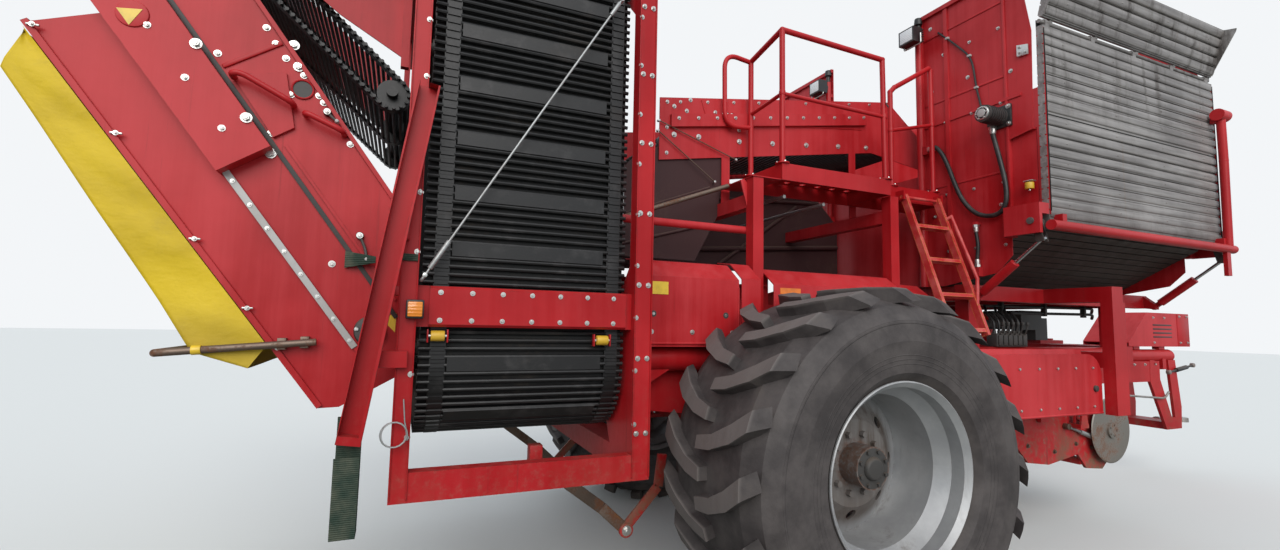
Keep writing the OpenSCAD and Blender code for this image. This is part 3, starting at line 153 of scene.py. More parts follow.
class Finish:
    """One material. Nodes come from node(), and the closing surface from shine()."""

    def __init__(self, name, **fixed):
        self.material = bpy.data.materials.new(name)
        self.material.use_nodes = True
        self.tree = self.material.node_tree
        self.surface = self.tree.nodes["Principled BSDF"]
        for socket, value in fixed.items():
            self.surface.inputs[socket.replace("_", " ")].default_value = value
        self.point = self.node("ShaderNodeTexCoord", output="Object")

    def node(self, kind, settings=None, sockets=None, output=0):
        made = self.tree.nodes.new(kind)
        for key, value in (settings or {}).items():
            setattr(made, key, value)
        for key, value in (sockets or {}).items():
            if isinstance(value, Wire):
                self.tree.links.new(value.socket, made.inputs[key])
            elif isinstance(value, tuple) and made.inputs[key].type == "RGBA":
                made.inputs[key].default_value = (*value, 1)
            else:
                made.inputs[key].default_value = value
        return Wire(self, made.outputs[output])

    def moved(self, origin=(0, 0, 0), scale=(1, 1, 1)):
        """Object coordinates with the pattern stretched about origin."""
        shift = self.node("ShaderNodeVectorMath", {"operation": "SUBTRACT"}, {0: self.point, 1: tuple(origin)})
        return self.node("ShaderNodeMapping", {}, {"Vector": shift, "Scale": scale})

    def noise(self, scale, detail, roughness, stretch=(1, 1, 1)):
        return self.node("ShaderNodeTexNoise", {}, {"Vector": self.moved(scale=stretch), "Scale": scale,
                                                    "Detail": detail, "Roughness": roughness})

    def axis(self, letter, vector=None):
        return self.node("ShaderNodeSeparateXYZ", {}, {0: vector or self.point}, output="XYZ".index(letter))

    def facing(self, letter):
        """How far the surface faces along an axis, -1 to 1."""
        normal = self.node("ShaderNodeNewGeometry", output="Normal")
        return self.axis(letter, normal)

    def edges(self, radius):
        """1 on sharp edges, 0 on the flats."""
        soft = self.node("ShaderNodeBevel", {"samples": 4}, {"Radius": radius})
        hard = self.node("ShaderNodeNewGeometry", output="Normal")
        along = self.node("ShaderNodeVectorMath", {"operation": "DOT_PRODUCT"}, {0: soft, 1: hard}, output="Value")
        return along.rise(0.995, 0.86)

    def mix(self, first, second, factor):
        """Colour between first and second; its sockets share names, so they go by number."""
        return self.node("ShaderNodeMix", {"data_type": "RGBA"}, {6: first, 7: second, 0: factor}, output=2)

    def bump(self, height, distance, strength=1.0):
        return self.node("ShaderNodeBump", {}, {"Height": height, "Distance": distance, "Strength": strength})

    def shine(self, **links):
        """Links or sets the surface's own sockets and returns the material."""
        for name, value in links.items():
            socket = self.surface.inputs[name.replace("_", " ")]
            if isinstance(value, Wire):
                self.tree.links.new(value.socket, socket)
            elif isinstance(value, tuple) and socket.type == "RGBA":
                socket.default_value = (*value, 1)
            else:
                socket.default_value = value
        return self.material


MUD = (0.16, 0.105, 0.065)
DUST = (0.22, 0.165, 0.12)
RUST = (0.13, 0.045, 0.018)


def red_paint(name, fade=0.5, dirt=0.5, wear=0.5):
    """Crimson machine paint: sun-faded patches, rain streaks, dust below and chipped edges."""
    f = Finish(name, Coat_Weight=0.03, Coat_Roughness=0.25, Specular_IOR_Level=0.26)
    clouds = f.noise(1.1, 5, 0.6)
    fine = f.noise(34, 5, 0.7)
    streaks = f.noise(1.0, 6, 0.65, stretch=(14, 14, 0.7))
    up = f.facing("Z").rise(0.2, 0.95)
    high = f.axis("Z")
    faded = ((clouds * 0.7 + streaks * 0.6 - 0.42) * 1.7).rise(0.05, 0.75) * fade
    base = f.mix((0.34, 0.004, 0.007), (0.48, 0.010, 0.014), clouds.rise(0.35, 0.7))
    base = f.mix(base, (0.56, 0.055, 0.064), faded)
    dust = ((streaks * 0.6 + fine * 0.5).rise(0.5, 0.78) * 0.3 + up * 0.3 + high.rise(1.5, 0.6) * fine.rise(0.4, 0.7)
            * 0.5) * dirt
    base = f.mix(base, DUST, dust.rise(0, 1.2))
    runs = f.noise(1.6, 7, 0.72, stretch=(22, 22, 0.55)).rise(0.60, 0.72) * (0.25 + dirt * 0.45)
    base = f.mix(base, (0.12, 0.020, 0.017), runs)
    mud = (high.rise(1.0, 0.3) * f.noise(5, 6, 0.7).rise(0.45, 0.62)) * dirt
    base = f.mix(base, MUD, mud)
    chips = f.edges(0.006) * f.noise(22, 4, 0.7).rise(0.48, 0.60) * wear
    spots = f.noise(11, 8, 0.8).rise(0.72, 0.745) * wear
    chip = chips.most(spots)
    base = f.mix(base, (0.060, 0.026, 0.020), chip)
    return f.shine(Base_Color=base, Roughness=(0.36 + faded * 0.18 + dust * 0.4 + runs * 0.15 + chip * 0.3),
                   Normal=f.bump(fine * 0.25 + clouds * 0.3 - chip * 0.4, 0.0012, 0.5))


def tyre_rubber(name, side):
    """Worn, dusty tread and a darker sidewall with moulded rings."""
    f = Finish(name, Specular_IOR_Level=0.3)
    wheel = f.moved(origin=wheel_centre(side))
    x, z = f.axis("X", wheel), f.axis("Z", wheel)
    radius = (x * x + z * z) ** 0.5
    tread = radius.rise(0.70, 0.775)
    blotch = f.noise(7, 6, 0.65)
    grit = f.noise(90, 4, 0.7)
    scuff = f.noise(3, 6, 0.7, stretch=(1, 6, 1))
    base = f.mix((0.044, 0.038, 0.038), (0.086, 0.075, 0.073), blotch.rise(0.3, 0.7))
    worn = radius.rise(0.795, 0.811) * (0.55 + scuff * 0.6)
    base = f.mix(base, (0.165, 0.145, 0.138), worn * 0.9)
    dusty = (tread * blotch.rise(0.5, 0.72) * 0.35 + z.rise(-0.55, -0.8) * blotch.rise(0.35, 0.6)
             * 0.7 + radius.rise(0.46, 0.40) * 0.3)
    base = f.mix(base, (0.105, 0.085, 0.07), dusty.rise(0, 1))
    rings = ((radius * 330).sine().rise(0.72, 0.98) * radius.rise(0.46, 0.48) * radius.rise(0.53, 0.515)
             + (radius - 0.655).size().rise(0.006, 0.003))
    height = rings * 0.9 + grit * 0.28 + blotch * 0.35 + scuff * worn * 0.6
    return f.shine(Base_Color=base, Roughness=0.62 + dusty * 0.25 - worn * 0.05, Normal=f.bump(height, 0.003, 0.8))


def silver_paint(name, side):
    """Silver-grey wheel paint with scuffed lips, darker towards the wheel's centre: earth and brake dust there, and
    painted shade.
    """
    f = Finish(name, Coat_Weight=0.1, Coat_Roughness=0.3)
    wheel = f.moved(origin=wheel_centre(side))
    x, z = f.axis("X", wheel), f.axis("Z", wheel)
    radius = (x * x + z * z) ** 0.5
    cloud = f.noise(5, 5, 0.6)
    fine = f.noise(60, 4, 0.6)
    runs = f.noise(2.2, 6, 0.7, stretch=(9, 9, 1))
    base = f.mix((0.33, 0.335, 0.345), (0.44, 0.445, 0.45), cloud.rise(0.3, 0.7))
    # The centre darkens with earth and brake dust, and with painted shade where the disc sits deep.
    centre_dirt_and_shade = radius.rise(0.335, 0.24) * (0.45 + runs * 0.6)
    dirt = (runs * 0.6 + cloud * 0.5).rise(0.55, 0.8) * 0.5 + f.axis("Z").rise(0.75, 0.42) * 0.35 + centre_dirt_and_shade
    base = f.mix(base, (0.115, 0.092, 0.078), dirt.rise(0, 1.1))
    rusty = radius.rise(0.13, 0.08) * fine.rise(0.3, 0.6) * 0.8
    chip = f.edges(0.004) * fine.rise(0.5, 0.6)
    base = f.mix(base, RUST, (chip * 0.6).most(rusty))
    return f.shine(Base_Color=base, Metallic=0.3, Roughness=0.38 + dirt * 0.3, Normal=f.bump(fine, 0.0006, 0.5))


def bar_steel(name):
    """Rubber-sleeved web bars, polished on their faces and earthy between."""
    f = Finish(name, Specular_IOR_Level=0.5)
    mottle = f.noise(9, 5, 0.65)
    fine = f.noise(120, 3, 0.6)
    base = f.mix((0.0065, 0.006, 0.0065), (0.045, 0.042, 0.042), mottle.rise(0.5, 0.75) * 0.7)
    soil = f.noise(3.2, 6, 0.7).rise(0.55, 0.75) * 0.4
    base = f.mix(base, (0.040, 0.030, 0.023), soil)
    return f.shine(Base_Color=base, Roughness=0.42 + soil * 0.4, Normal=f.bump(fine, 0.0006, 0.6))


def slat_grey(name):
    """Weathered grey slats: drips of soil from the top, and darker towards the bottom."""
    f = Finish(name, Specular_IOR_Level=0.45)
    long = f.noise(1.4, 6, 0.65, stretch=(1, 20, 20))
    drips = f.noise(1.3, 7, 0.7, stretch=(7, 7, 0.9))
    broad = f.noise(1.5, 4, 0.6)
    fine = f.noise(70, 4, 0.65)
    z = f.axis("Z")
    base = f.mix((0.17, 0.155, 0.15), (0.34, 0.32, 0.31), (long * 0.6 + broad * 0.5).rise(0.42, 0.68))
    # Drips and speckles are stains; below about 2.25 m the grey is darker towards the bottom.
    stains_and_low_darkening = ((drips * 0.75 + broad * 0.4).rise(0.52, 0.74) * (0.2 + z.rise(2.6, 3.3) * 0.5)
             + z.rise(2.25, 2.0) * 0.8 + fine.rise(0.62, 0.8) * 0.25)
    base = f.mix(base, (0.055, 0.043, 0.038), stains_and_low_darkening.rise(0.02, 0.95))
    streak = f.noise(1.0, 6, 0.7, stretch=(16, 16, 0.5)).rise(0.62, 0.70) * 0.3
    base = f.mix(base, (0.23, 0.14, 0.08), streak)
    return f.shine(Base_Color=base, Metallic=0.25, Roughness=0.45 + stains_and_low_darkening * 0.3,
                   Normal=f.bump(long * 0.5 + fine * 0.3, 0.0008, 0.6))


def worn_steel(name, bright=(0.42, 0.40, 0.38), rust=0.5, polish=0.38):
    """Bare steel, earth-polished, with rust in patches."""
    f = Finish(name)
    patch = f.noise(6, 6, 0.65)
    fine = f.noise(90, 4, 0.7)
    rusty = (patch * 0.7 + fine * 0.35).rise(0.50, 0.66) * rust
    base = f.mix(bright, RUST, rusty)
    base = f.mix(base, (0.24, 0.11, 0.045), (fine * patch).rise(0.3, 0.42) * rust * 0.6)
    return f.shine(Base_Color=base, Metallic=(1 - rusty * 0.9) * 0.9, Roughness=polish + rusty * 0.4 + fine * 0.08,
                   Normal=f.bump(fine * 0.6 + patch * 0.3, 0.0008, 0.6))


def chromed(name):
    """Hydraulic rod: hard chrome with a greasy film."""
    f = Finish(name)
    film = f.noise(14, 4, 0.6)
    base = f.mix((0.62, 0.63, 0.65), (0.35, 0.33, 0.30), film.rise(0.55, 0.8) * 0.6)
    return f.shine(Base_Color=base, Metallic=1.0, Roughness=0.12 + film * 0.16)


def dark_paint(name, colour=(0.022, 0.022, 0.024), rough=0.42):
    """Black paint or cast iron with dust on what faces up."""
    f = Finish(name, Specular_IOR_Level=0.5)
    fine = f.noise(55, 5, 0.7)
    cloud = f.noise(4, 4, 0.6)
    dust = f.facing("Z").rise(0.1, 0.9) * 0.45 + (cloud * 0.6 + fine * 0.4).rise(0.5, 0.7) * 0.25
    base = f.mix(colour, DUST, dust * 0.55)
    chip = f.edges(0.003) * fine.rise(0.5, 0.6)
    base = f.mix(base, (0.12, 0.10, 0.09), chip * 0.6)
    return f.shine(Base_Color=base, Roughness=rough + dust * 0.4, Normal=f.bump(fine, 0.0008, 0.6))


def hose_rubber(name):
    """Hydraulic hose: satin rubber with a fine woven cover."""
    f = Finish(name, Specular_IOR_Level=0.5)
    weave = f.noise(260, 2, 0.5)
    scuff = f.noise(10, 4, 0.6)
    base = f.mix((0.012, 0.012, 0.013), (0.05, 0.046, 0.043), scuff.rise(0.45, 0.75))
    return f.shine(Base_Color=base, Roughness=0.36 + scuff * 0.2, Normal=f.bump(weave, 0.0004, 0.5))


def tarp_cloth(name):
    """Coated yellow cloth: a fine weave, creases and a grubby lower hem."""
    f = Finish(name, Specular_IOR_Level=0.3)
    weave = (f.axis("X") * 2600).sine() * (f.axis("Z") * 2600).sine()
    crease = f.noise(2.4, 5, 0.6, stretch=(1, 1, 1.6))
    smudge = f.noise(5.5, 6, 0.7)
    base = f.mix((0.70, 0.49, 0.014), (0.56, 0.385, 0.012), crease.rise(0.35, 0.7))
    dirt = smudge.rise(0.55, 0.78) * 0.35 + f.axis("Z").rise(1.55, 1.28) * 0.3
    base = f.mix(base, (0.27, 0.19, 0.06), dirt)
    return f.shine(Base_Color=base, Roughness=0.44 + dirt * 0.3,
                   Normal=f.bump(crease * 1.0 + weave * 0.01, 0.02, 0.7))


def strap_web(name):
    """Dark green rubberised webbing with a ribbed weave."""
    f = Finish(name, Specular_IOR_Level=0.3)
    rib = (f.axis("Z") * 900).sine()
    grime = f.noise(8, 6, 0.7)
    base = f.mix((0.020, 0.040, 0.028), (0.075, 0.085, 0.060), grime.rise(0.4, 0.7))
    return f.shine(Base_Color=base, Roughness=0.75, Normal=f.bump(rib + grime, 0.0012, 0.7))


def plastic(name, colour, rough=0.4):
    """Moulded plastic with a fine grain."""
    f = Finish(name, Specular_IOR_Level=0.5)
    grain = f.noise(300, 3, 0.5)
    dust = f.noise(9, 5, 0.6).rise(0.5, 0.75) * 0.3
    base = f.mix(colour, DUST, dust * 0.6)
    return f.shine(Base_Color=base, Roughness=rough + dust, Normal=f.bump(grain, 0.0003, 0.4))


def decal(name, colour):
    """Blank coloured film with a scuffed face."""
    f = Finish(name, Coat_Weight=0.3, Coat_Roughness=0.25)
    scuff = f.noise(28, 6, 0.75).rise(0.58, 0.68)
    tone = f.noise(12, 4, 0.6)
    base = f.mix(colour, tuple(c * 0.72 for c in colour), tone.rise(0.35, 0.7))
    return f.shine(Base_Color=f.mix(base, (0.45, 0.12, 0.09), scuff * 0.5), Roughness=0.38 + scuff * 0.3)


def lens_glass(name, colour):
    """Lamp lens with a fluted back."""
    f = Finish(name, Coat_Weight=0.6, Coat_Roughness=0.06)
    flute = (f.axis("Y") * 700).sine() * 0.5 + (f.axis("Z") * 500).sine() * 0.5
    base = f.mix(colour, tuple(c * 0.55 for c in colour), flute.rise(-0.2, 0.6) * 0.6)
    return f.shine(Base_Color=base, Roughness=0.14 + flute * 0.02, Normal=f.bump(flute, 0.0012, 0.8))


def ladder_paint(name):
    """Red paint, yellowed and worn through where boots and hands go."""
    f = Finish(name, Coat_Weight=0.15, Coat_Roughness=0.3)
    worn = f.noise(9, 6, 0.7)
    fine = f.noise(50, 4, 0.7)
    base = f.mix((0.46, 0.02, 0.022), (0.56, 0.10, 0.09), worn.rise(0.4, 0.7))
    yellow = (f.edges(0.008) + worn * 0.4).rise(0.45, 0.8) * fine.rise(0.35, 0.6)
    base = f.mix(base, (0.62, 0.38, 0.06), yellow * 0.7)
    return f.shine(Base_Color=base, Roughness=0.42 + worn * 0.15, Normal=f.bump(fine, 0.0008, 0.5))


RED = red_paint("red_paint", fade=0.22, dirt=0.5, wear=0.7)
RED_FADED = red_paint("red_panel", fade=0.55, dirt=0.32, wear=0.4)
RED_LOW = red_paint("red_soiled", fade=0.25, dirt=1.0, wear=1.0)
TYRE = {side: tyre_rubber("tyre_" + word, side) for (side, _, _), word in zip(both_sides(), SIDE_WORDS)}
SILVER = {side: silver_paint("wheel_silver_" + word, side) for (side, _, _), word in zip(both_sides(), SIDE_WORDS)}
RUSTY = worn_steel("rusty_steel", bright=(0.20, 0.15, 0.12), rust=1.0, polish=0.5)
GALVANISED = worn_steel("galvanised", bright=(0.42, 0.43, 0.43), rust=0.12, polish=0.5)
LINER = dark_paint("web_liner", colour=(0.006, 0.006, 0.0065), rough=0.75)
# Red paint inside the machine, near-black from soil and from painted shade
SOILED_AND_SHADED = dark_paint("soiled_and_shaded_inside", colour=(0.040, 0.010, 0.011), rough=0.7)
PALE = plastic("pale_strip", (0.42, 0.41, 0.40), 0.5)
ROLLER = plastic("yellow_roller", (0.62, 0.38, 0.03), 0.45)
BARS = bar_steel("web_bars")
SLATS = slat_grey("bunker_slats")
STEEL = worn_steel("worn_steel", rust=0.45)
BLADE = worn_steel("earth_polished", bright=(0.33, 0.30, 0.27), rust=0.9, polish=0.45)
ZINC = worn_steel("zinc_plated", bright=(0.60, 0.60, 0.58), rust=0.12, polish=0.3)
CHROME = chromed("chrome_rod")
BLACK = dark_paint("black_paint")
IRON = dark_paint("cast_iron", colour=(0.045, 0.042, 0.04), rough=0.55)
HOSE = hose_rubber("hose_cover")
TARP = tarp_cloth("tarp_cloth")
STRAP = strap_web("strap_rubber")
PLASTIC = plastic("black_plastic", (0.018, 0.018, 0.02))
YELLOW = decal("yellow_film", (0.78, 0.52, 0.03))
ORANGE = decal("orange_film", (0.80, 0.20, 0.02))
LENS = lens_glass("lamp_lens", (0.82, 0.84, 0.86))
AMBER = lens_glass("amber_lens", (0.75, 0.24, 0.02))
LADDER = ladder_paint("ladder_paint")

NODE_FINISH = {
    "main_frame": RED, "axle_beam": RED_LOW, "rim_right": SILVER[-1], "rim_left": SILVER[1],
    "tyre_right": TYRE[-1], "tyre_left": TYRE[1], "drawbar": RED, "hitch_ring": STEEL, "jack_leg": ZINC,
    "pto_drive": IRON, "front_hood": RED_FADED, "intake_frame": RED_LOW, "intake_web": BARS,
    "coulters": BLADE, "ridge_rollers": IRON, "lift_barrels": BLACK, "lift_rods": CHROME,
    "steer_barrel": BLACK, "steer_rod": CHROME, "main_web": BARS, "web_sides": RED,
    "side_shields": RED_FADED, "side_covers": RED_FADED, "elevator_frame": RED, "elevator_web": BARS,
    "rear_channel": RED_FADED, "rear_web": BARS, "upper_channel": RED_FADED, "upper_web": BARS,
    "tarp": TARP, "picking_table": RED_FADED, "table_web": BARS, "platforms": RED, "railings": RED,
    "ladder": LADDER, "bunker_box": RED_FADED, "bunker_floor": SLATS, "bunker_gate": SLATS,
    "gate_pipes": RED, "bunker_flap": SLATS, "gate_barrels": RED, "gate_rods": CHROME,
    "drive_motors": IRON, "work_lamps": PLASTIC, "side_guard": RED, "rubber_strap": STRAP,
    "motor_hose": HOSE, "drop_hose": HOSE,
}


def paint_nodes():
    for name, material in NODE_FINISH.items():
        mesh = nodes[name].data
        mesh.materials.clear()
        mesh.materials.append(material)


# Making pieces

# Faces of the part that the fittings sit on: how far out they are, and where the bunker's rear wall is
COLUMN_FACE = 1075
TABLE_FACE = 356
TABLE_RAIL = 381
COVER_FACE = 821
SHIELD_FACE = 1160
DRAWBAR_FACE = 200
BUNKER_WALL = 1500


def finish_piece(name, bm, material, sharp=30, body="main"):
    """A bmesh becomes a piece that rides on a CAD body; edges past the angle sharp stay crisp."""
    mesh = bpy.data.meshes.new(name)
    bmesh.ops.recalc_face_normals(bm, faces=bm.faces)
    bm.to_mesh(mesh)
    bm.free()
    mesh.materials.append(material)
    piece = bpy.data.objects.new(name, mesh)
    bpy.context.scene.collection.objects.link(piece)
    mesh.polygons.foreach_set("use_smooth", [True] * len(mesh.polygons))
    mesh.set_sharp_from_angle(angle=math.radians(sharp))
    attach(piece, body)
    return piece


def turn_to(axis):
    """Rotation that takes +Z to axis."""
    return Vector((0, 0, 1)).rotation_difference(Vector(axis)).to_matrix().to_4x4()


def edges_of(verts):
    """The edges that meet at the vertices, once each and always in the same order."""
    return list(dict.fromkeys(edge for vert in verts for edge in vert.link_edges))


def round_edges(bm, edges, width):
    bmesh.ops.bevel(bm, geom=edges, offset=width, segments=2, profile=0.5, affect="EDGES", material=-1)


def add_round(bm, start, end, radius, sides=16, tip=None, bevel=0.0):
    """Round bar from start to end; tip is its radius at the end."""
    start, end = Vector(start), Vector(end)
    made = bmesh.ops.create_cone(bm, cap_ends=True, segments=sides, radius1=radius,
                                 radius2=radius if tip is None else tip, depth=(end - start).length,
                                 matrix=Matrix.Translation((start + end) / 2) @ turn_to(end - start))
    if bevel:
        rims = [e for e in edges_of(made["verts"]) if any(len(face.verts) > 4 for face in e.link_faces)]
        round_edges(bm, rims, bevel)


def add_box(bm, corner, opposite, bevel=0.0, turn=None, about=None):
    """Box between two opposite corners, optionally turned about a point."""
    low, high = (Vector([pick(pair) for pair in zip(corner, opposite)]) for pick in (min, max))
    matrix = Matrix.Translation((low + high) / 2) @ Matrix.Diagonal((*(high - low), 1))
    if turn is not None:
        matrix = Matrix.Translation(about) @ turn.to_4x4() @ Matrix.Translation(-about) @ matrix
    made = bmesh.ops.create_cube(bm, size=1, matrix=matrix)
    if bevel:
        round_edges(bm, edges_of(made["verts"]), bevel)


def add_bolt(bm, point, axis, across=0.018, proud=0.009):
    """Hexagon head on its washer, standing out of a face."""
    axis = Vector(axis).normalized()
    point = Vector(point)
    add_round(bm, point - axis * 0.001, point + axis * 0.002, across * 0.86, 14)
    bmesh.ops.create_cone(bm, cap_ends=True, segments=6, radius1=across * 0.56, radius2=across * 0.56, depth=proud,
                          matrix=Matrix.Translation(point + axis * (0.002 + proud / 2)) @ turn_to(axis))
    add_round(bm, point + axis * (proud + 0.002), point + axis * (proud + 0.004), across * 0.42, 10, across * 0.34)


def bolt_row(bm, start, end, count, axis, across):
    for i in range(count):
        add_bolt(bm, start.lerp(end, i / (count - 1)), axis, across)


def turns(count, first=0.0):
    """Angles of count equal steps round a circle."""
    return [math.tau * (k + first) / count for k in range(count)]


def profile(on, y, *places):
    """Points of a side view's (x, z) places, all at the distance y."""
    return [on(x, y, z) for x, z in places]


def skin(bm, loops):
    """Faces between each loop of vertices and the next."""
    for one, two in zip(loops, loops[1:]):
        for k in range(len(one)):
            bm.faces.new((one[k], one[k - 1], two[k - 1], two[k]))


def add_plate(bm, outline, along, bevel=0.0):
    """Flat outline of points, pushed along a vector into a closed plate."""
    face = bm.faces.new([bm.verts.new(p) for p in outline])
    made = bmesh.ops.extrude_face_region(bm, geom=[face])
    moved = [g for g in made["geom"] if isinstance(g, bmesh.types.BMVert)]
    bmesh.ops.translate(bm, verts=moved, vec=along)
    if bevel:
        round_edges(bm, edges_of(moved), bevel)


def eased(points, corner, steps=6):
    """The points with each bend rounded off within corner of it."""
    points = [Vector(p) for p in points]
    path = [points[0]]
    for before, here, after in zip(points, points[1:], points[2:]):
        reach_in = min(corner, (before - here).length * 0.49)
        reach_out = min(corner, (after - here).length * 0.49)
        a = here + (before - here).normalized() * reach_in
        b = here + (after - here).normalized() * reach_out
        for k in range(steps + 1):
            t = k / steps
            path.append(a * (1 - t) ** 2 + here * 2 * t * (1 - t) + b * t * t)
    return path + [points[-1]]


def add_pipe(bm, points, radius, sides=12, corner=0.04):
    """Round pipe along points, with eased bends and closed ends."""
    path = eased(points, corner)
    rings = []
    across = None
    for i, here in enumerate(path):
        ahead = (path[min(i + 1, len(path) - 1)] - path[max(i - 1, 0)]).normalized()
        across = across if across is not None else ahead.orthogonal()
        across = (across - ahead * ahead.dot(across)).normalized()
        third = ahead.cross(across)
        rings.append([bm.verts.new(here + (across * math.cos(a) + third * math.sin(a)) * radius)
                      for a in turns(sides)])
    skin(bm, rings)
    bm.faces.new(rings[0])
    bm.faces.new(rings[-1][::-1])


def add_film(bm, corners, out):
    """Blank film on a face."""
    add_plate(bm, [corner + out * 0.0002 for corner in corners], out * 0.0008)


# Hoses: (y, z) routes in the plane HOSE_X, from one end to the other

HOSE_X = 1471
MOTOR_PORT = 2750
DROP_TOP = 2130
DROP_FOOT = 1850
MOTOR_HOSE = [(-1020, MOTOR_PORT), (-1020, 2730), (-1020, 2700), (-1060, 2520), (-1090, 2360), (-1090, 2250),
              (-1050, 2185), (-970, 2175), (-880, 2215), (-800, 2310), (-745, 2430), (-695, 2570), (-650, 2670),
              (-605, 2730), (-575, 2730), (-545, 2730)]
FERRULE = 0.05
DROP_HOSE = [(-886, DROP_TOP), (-886, 2110), (-886, 2080), (-896, 1990), (-888, 1900), (-888, 1870),
             (-888, DROP_FOOT)]


def smooth_route(points, steps=8):
    """Catmull-Rom curve through the route's points."""
    count = len(points)
    path = []
    for i in range(count - 1):
        p0, p1, p2, p3 = (points[min(max(i + k, 0), count - 1)] for k in (-1, 0, 1, 2))
        for k in range(steps):
            t = k / steps
            path.append(0.5 * (2 * p1 + (p2 - p0) * t + (2 * p0 - 5 * p1 + 4 * p2 - p3) * t * t
                               + (3 * p1 - p0 - 3 * p2 + p3) * t ** 3))
    return path + [points[-1]]


def path_length(path):
    return sum((b - a).length for a, b in zip(path, path[1:]))


def hose_curve(name, path, diameter):
    data = bpy.data.curves.new(name, "CURVE")
    data.dimensions = "3D"
    data.bevel_depth = diameter / 2
    data.bevel_resolution = 3
    data.use_fill_caps = True
    spline = data.splines.new("POLY")
    spline.points.add(len(path) - 1)
    for point, place in zip(spline.points, path):
        point.co = (*place, 1)
    data.materials.append(HOSE)
    hose = bpy.data.objects.new(name, data)
    bpy.context.scene.collection.objects.link(hose)
    return hose


def hose_fitting(name, path, diameter):
    """Crimped ferrules with their union nuts at both ends of a hose."""
    bm = bmesh.new()
    for a, b in ((path[0], path[1]), (path[-1], path[-2])):
        along = (b - a).normalized()
        add_round(bm, a, a + along * FERRULE, diameter * 0.64, 20, diameter * 0.60, 0.0012)
        for k in (0.45, 0.62, 0.79):
            add_round(bm, a + along * FERRULE * k, a + along * FERRULE * (k + 0.07), diameter * 0.69, 20)
        add_round(bm, a, a + along * FERRULE * 0.35, diameter * 0.78, 6)
    return finish_piece(name, bm, ZINC, 35)


def declare_hose(name, points, diameter, node):
    path = smooth_route([at(HOSE_X, y, z) for y, z in points])
    hose = hose_curve(name, path, diameter)
    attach(hose, "main")
    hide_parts(node)
    ends = hose_fitting(name + "_ends", path, diameter)
    tuple(path[0])
    round(path_length(path), 3)


# The rear channel's own line: s up the incline, v square to it

CHANNEL_ANGLE = math.radians(54.3)
CHANNEL_FOOT = Vector((-2418, 0, 1336))
CHANNEL_UP = Vector((-math.cos(CHANNEL_ANGLE), 0, math.sin(CHANNEL_ANGLE)))
CHANNEL_OUT = Vector((math.sin(CHANNEL_ANGLE), 0, math.cos(CHANNEL_ANGLE)))
CHANNEL_Y = 950
TARP_TOP = 1268
TARP_WIDTH = 2.3
TARP_TUBE_Y = 985


def channel(s, v, y):
    p = CHANNEL_FOOT + CHANNEL_UP * s + CHANNEL_OUT * v
    return at(p.x, y, p.z)


def hang_tarp():
    """The yellow cloth under the rear channel: two sides and the sagging belly, in one sheet."""
    bm = bmesh.new()
    edge = (CHANNEL_Y + 15) * MM
    low_points = [channel(1250, -8, 0), channel(1180, -120, 0), at(-2740, 0, 1480), at(-2640, 0, 1310),
                  at(-2472, 0, 1252)]
    lengths = [0.0]
    for a, b in zip(low_points, low_points[1:]):
        lengths.append(lengths[-1] + (b - a).length)

    def belly(t):
        want = t * lengths[-1]
        for a, b, la, lb in zip(low_points, low_points[1:], lengths, lengths[1:]):
            if want <= lb:
                return a.lerp(b, (want - la) / (lb - la))
        return low_points[-1]

    rows, down, across = 40, 14, 26
    grid = []
    for i in range(rows + 1):
        t = i / rows
        high = channel(TARP_TOP * (1 - t), -2, 0)
        low = belly(t)
        line = []
        for k in range(down + 1):
            w = k / down
            p = high.lerp(low, w)
            ripple = (math.sin(t * 26 + w * 3) * 0.006 * math.sin(math.pi * min(w * 1.4, 1))
                      + noise.noise(p * 3.1) * 0.012 * w)
            line.append(Vector((p.x, -edge - 0.002 + ripple, p.z)))
        for k in range(1, across):
            w = k / across
            sag = math.sin(math.pi * w) * 0.004
            wave = noise.noise(Vector((t * 5, w * 6, 3.3))) * 0.006
            line.append(Vector((low.x + wave, -edge + 2 * edge * w, low.z + sag + wave)))
        for k in range(down, -1, -1):
            w = k / down
            p = high.lerp(low, w)
            ripple = math.sin(t * 24 + w * 3) * 0.006 * math.sin(math.pi * min(w * 1.4, 1))
            line.append(Vector((p.x, edge + 0.002 - ripple, p.z)))
        grid.append([bm.verts.new(p) for p in line])
    for a, b in zip(grid, grid[1:]):
        for k in range(len(a) - 1):
            bm.faces.new((a[k], b[k], b[k + 1], a[k + 1]))
    area = sum(f.calc_area() for f in bm.faces)
    piece = finish_piece("tarp_cloth", bm, TARP, 180)
    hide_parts("tarp")
    round(area / TARP_WIDTH, 3)


def fasten_panels():
    """Bolt heads along the seams of the frame's columns, the table and the bunker's walls."""
    bm = bmesh.new()
    for _, out, on in both_sides():
        for x in (-1010, -965):
            bolt_row(bm, on(x, COLUMN_FACE, 960), on(x, COLUMN_FACE, 3560), 9, out, 0.014)
        bolt_row(bm, on(-540, TABLE_FACE, 2480), on(-540, TABLE_FACE, 2800), 3, out, 0.014)
        bolt_row(bm, on(-470, TABLE_RAIL, 2700), on(1020, TABLE_RAIL, 2950), 12, out, 0.013)
        bolt_row(bm, on(-450, TABLE_FACE, 2815), on(1100, TABLE_FACE, 3070), 9, out, 0.012)
    for z in (1980, 2380, 2900, 3400):
        for _, _, on in both_sides():
            bolt_row(bm, on(BUNKER_WALL, 660, z), on(BUNKER_WALL, 1060, z), 3, (-1, 0, 0), 0.013)
    finish_piece("panel_bolts", bm, ZINC)


# Webs: the whole ring web, and rubber sleeves on and between the bars of the straight ones

RING_X0, RING_LENGTH = -1910, 860
RING_HALF, RING_LOW, RING_TOP, RING_CORNER = 1000, 950, 3640, 300
RING_BARS = 266
RING_INSET = 9.5
PLATE_EVERY = 7
RING_BELTS = (42, 772)
BELT_WIDTH = 60
GUIDE_WIDTH = 50


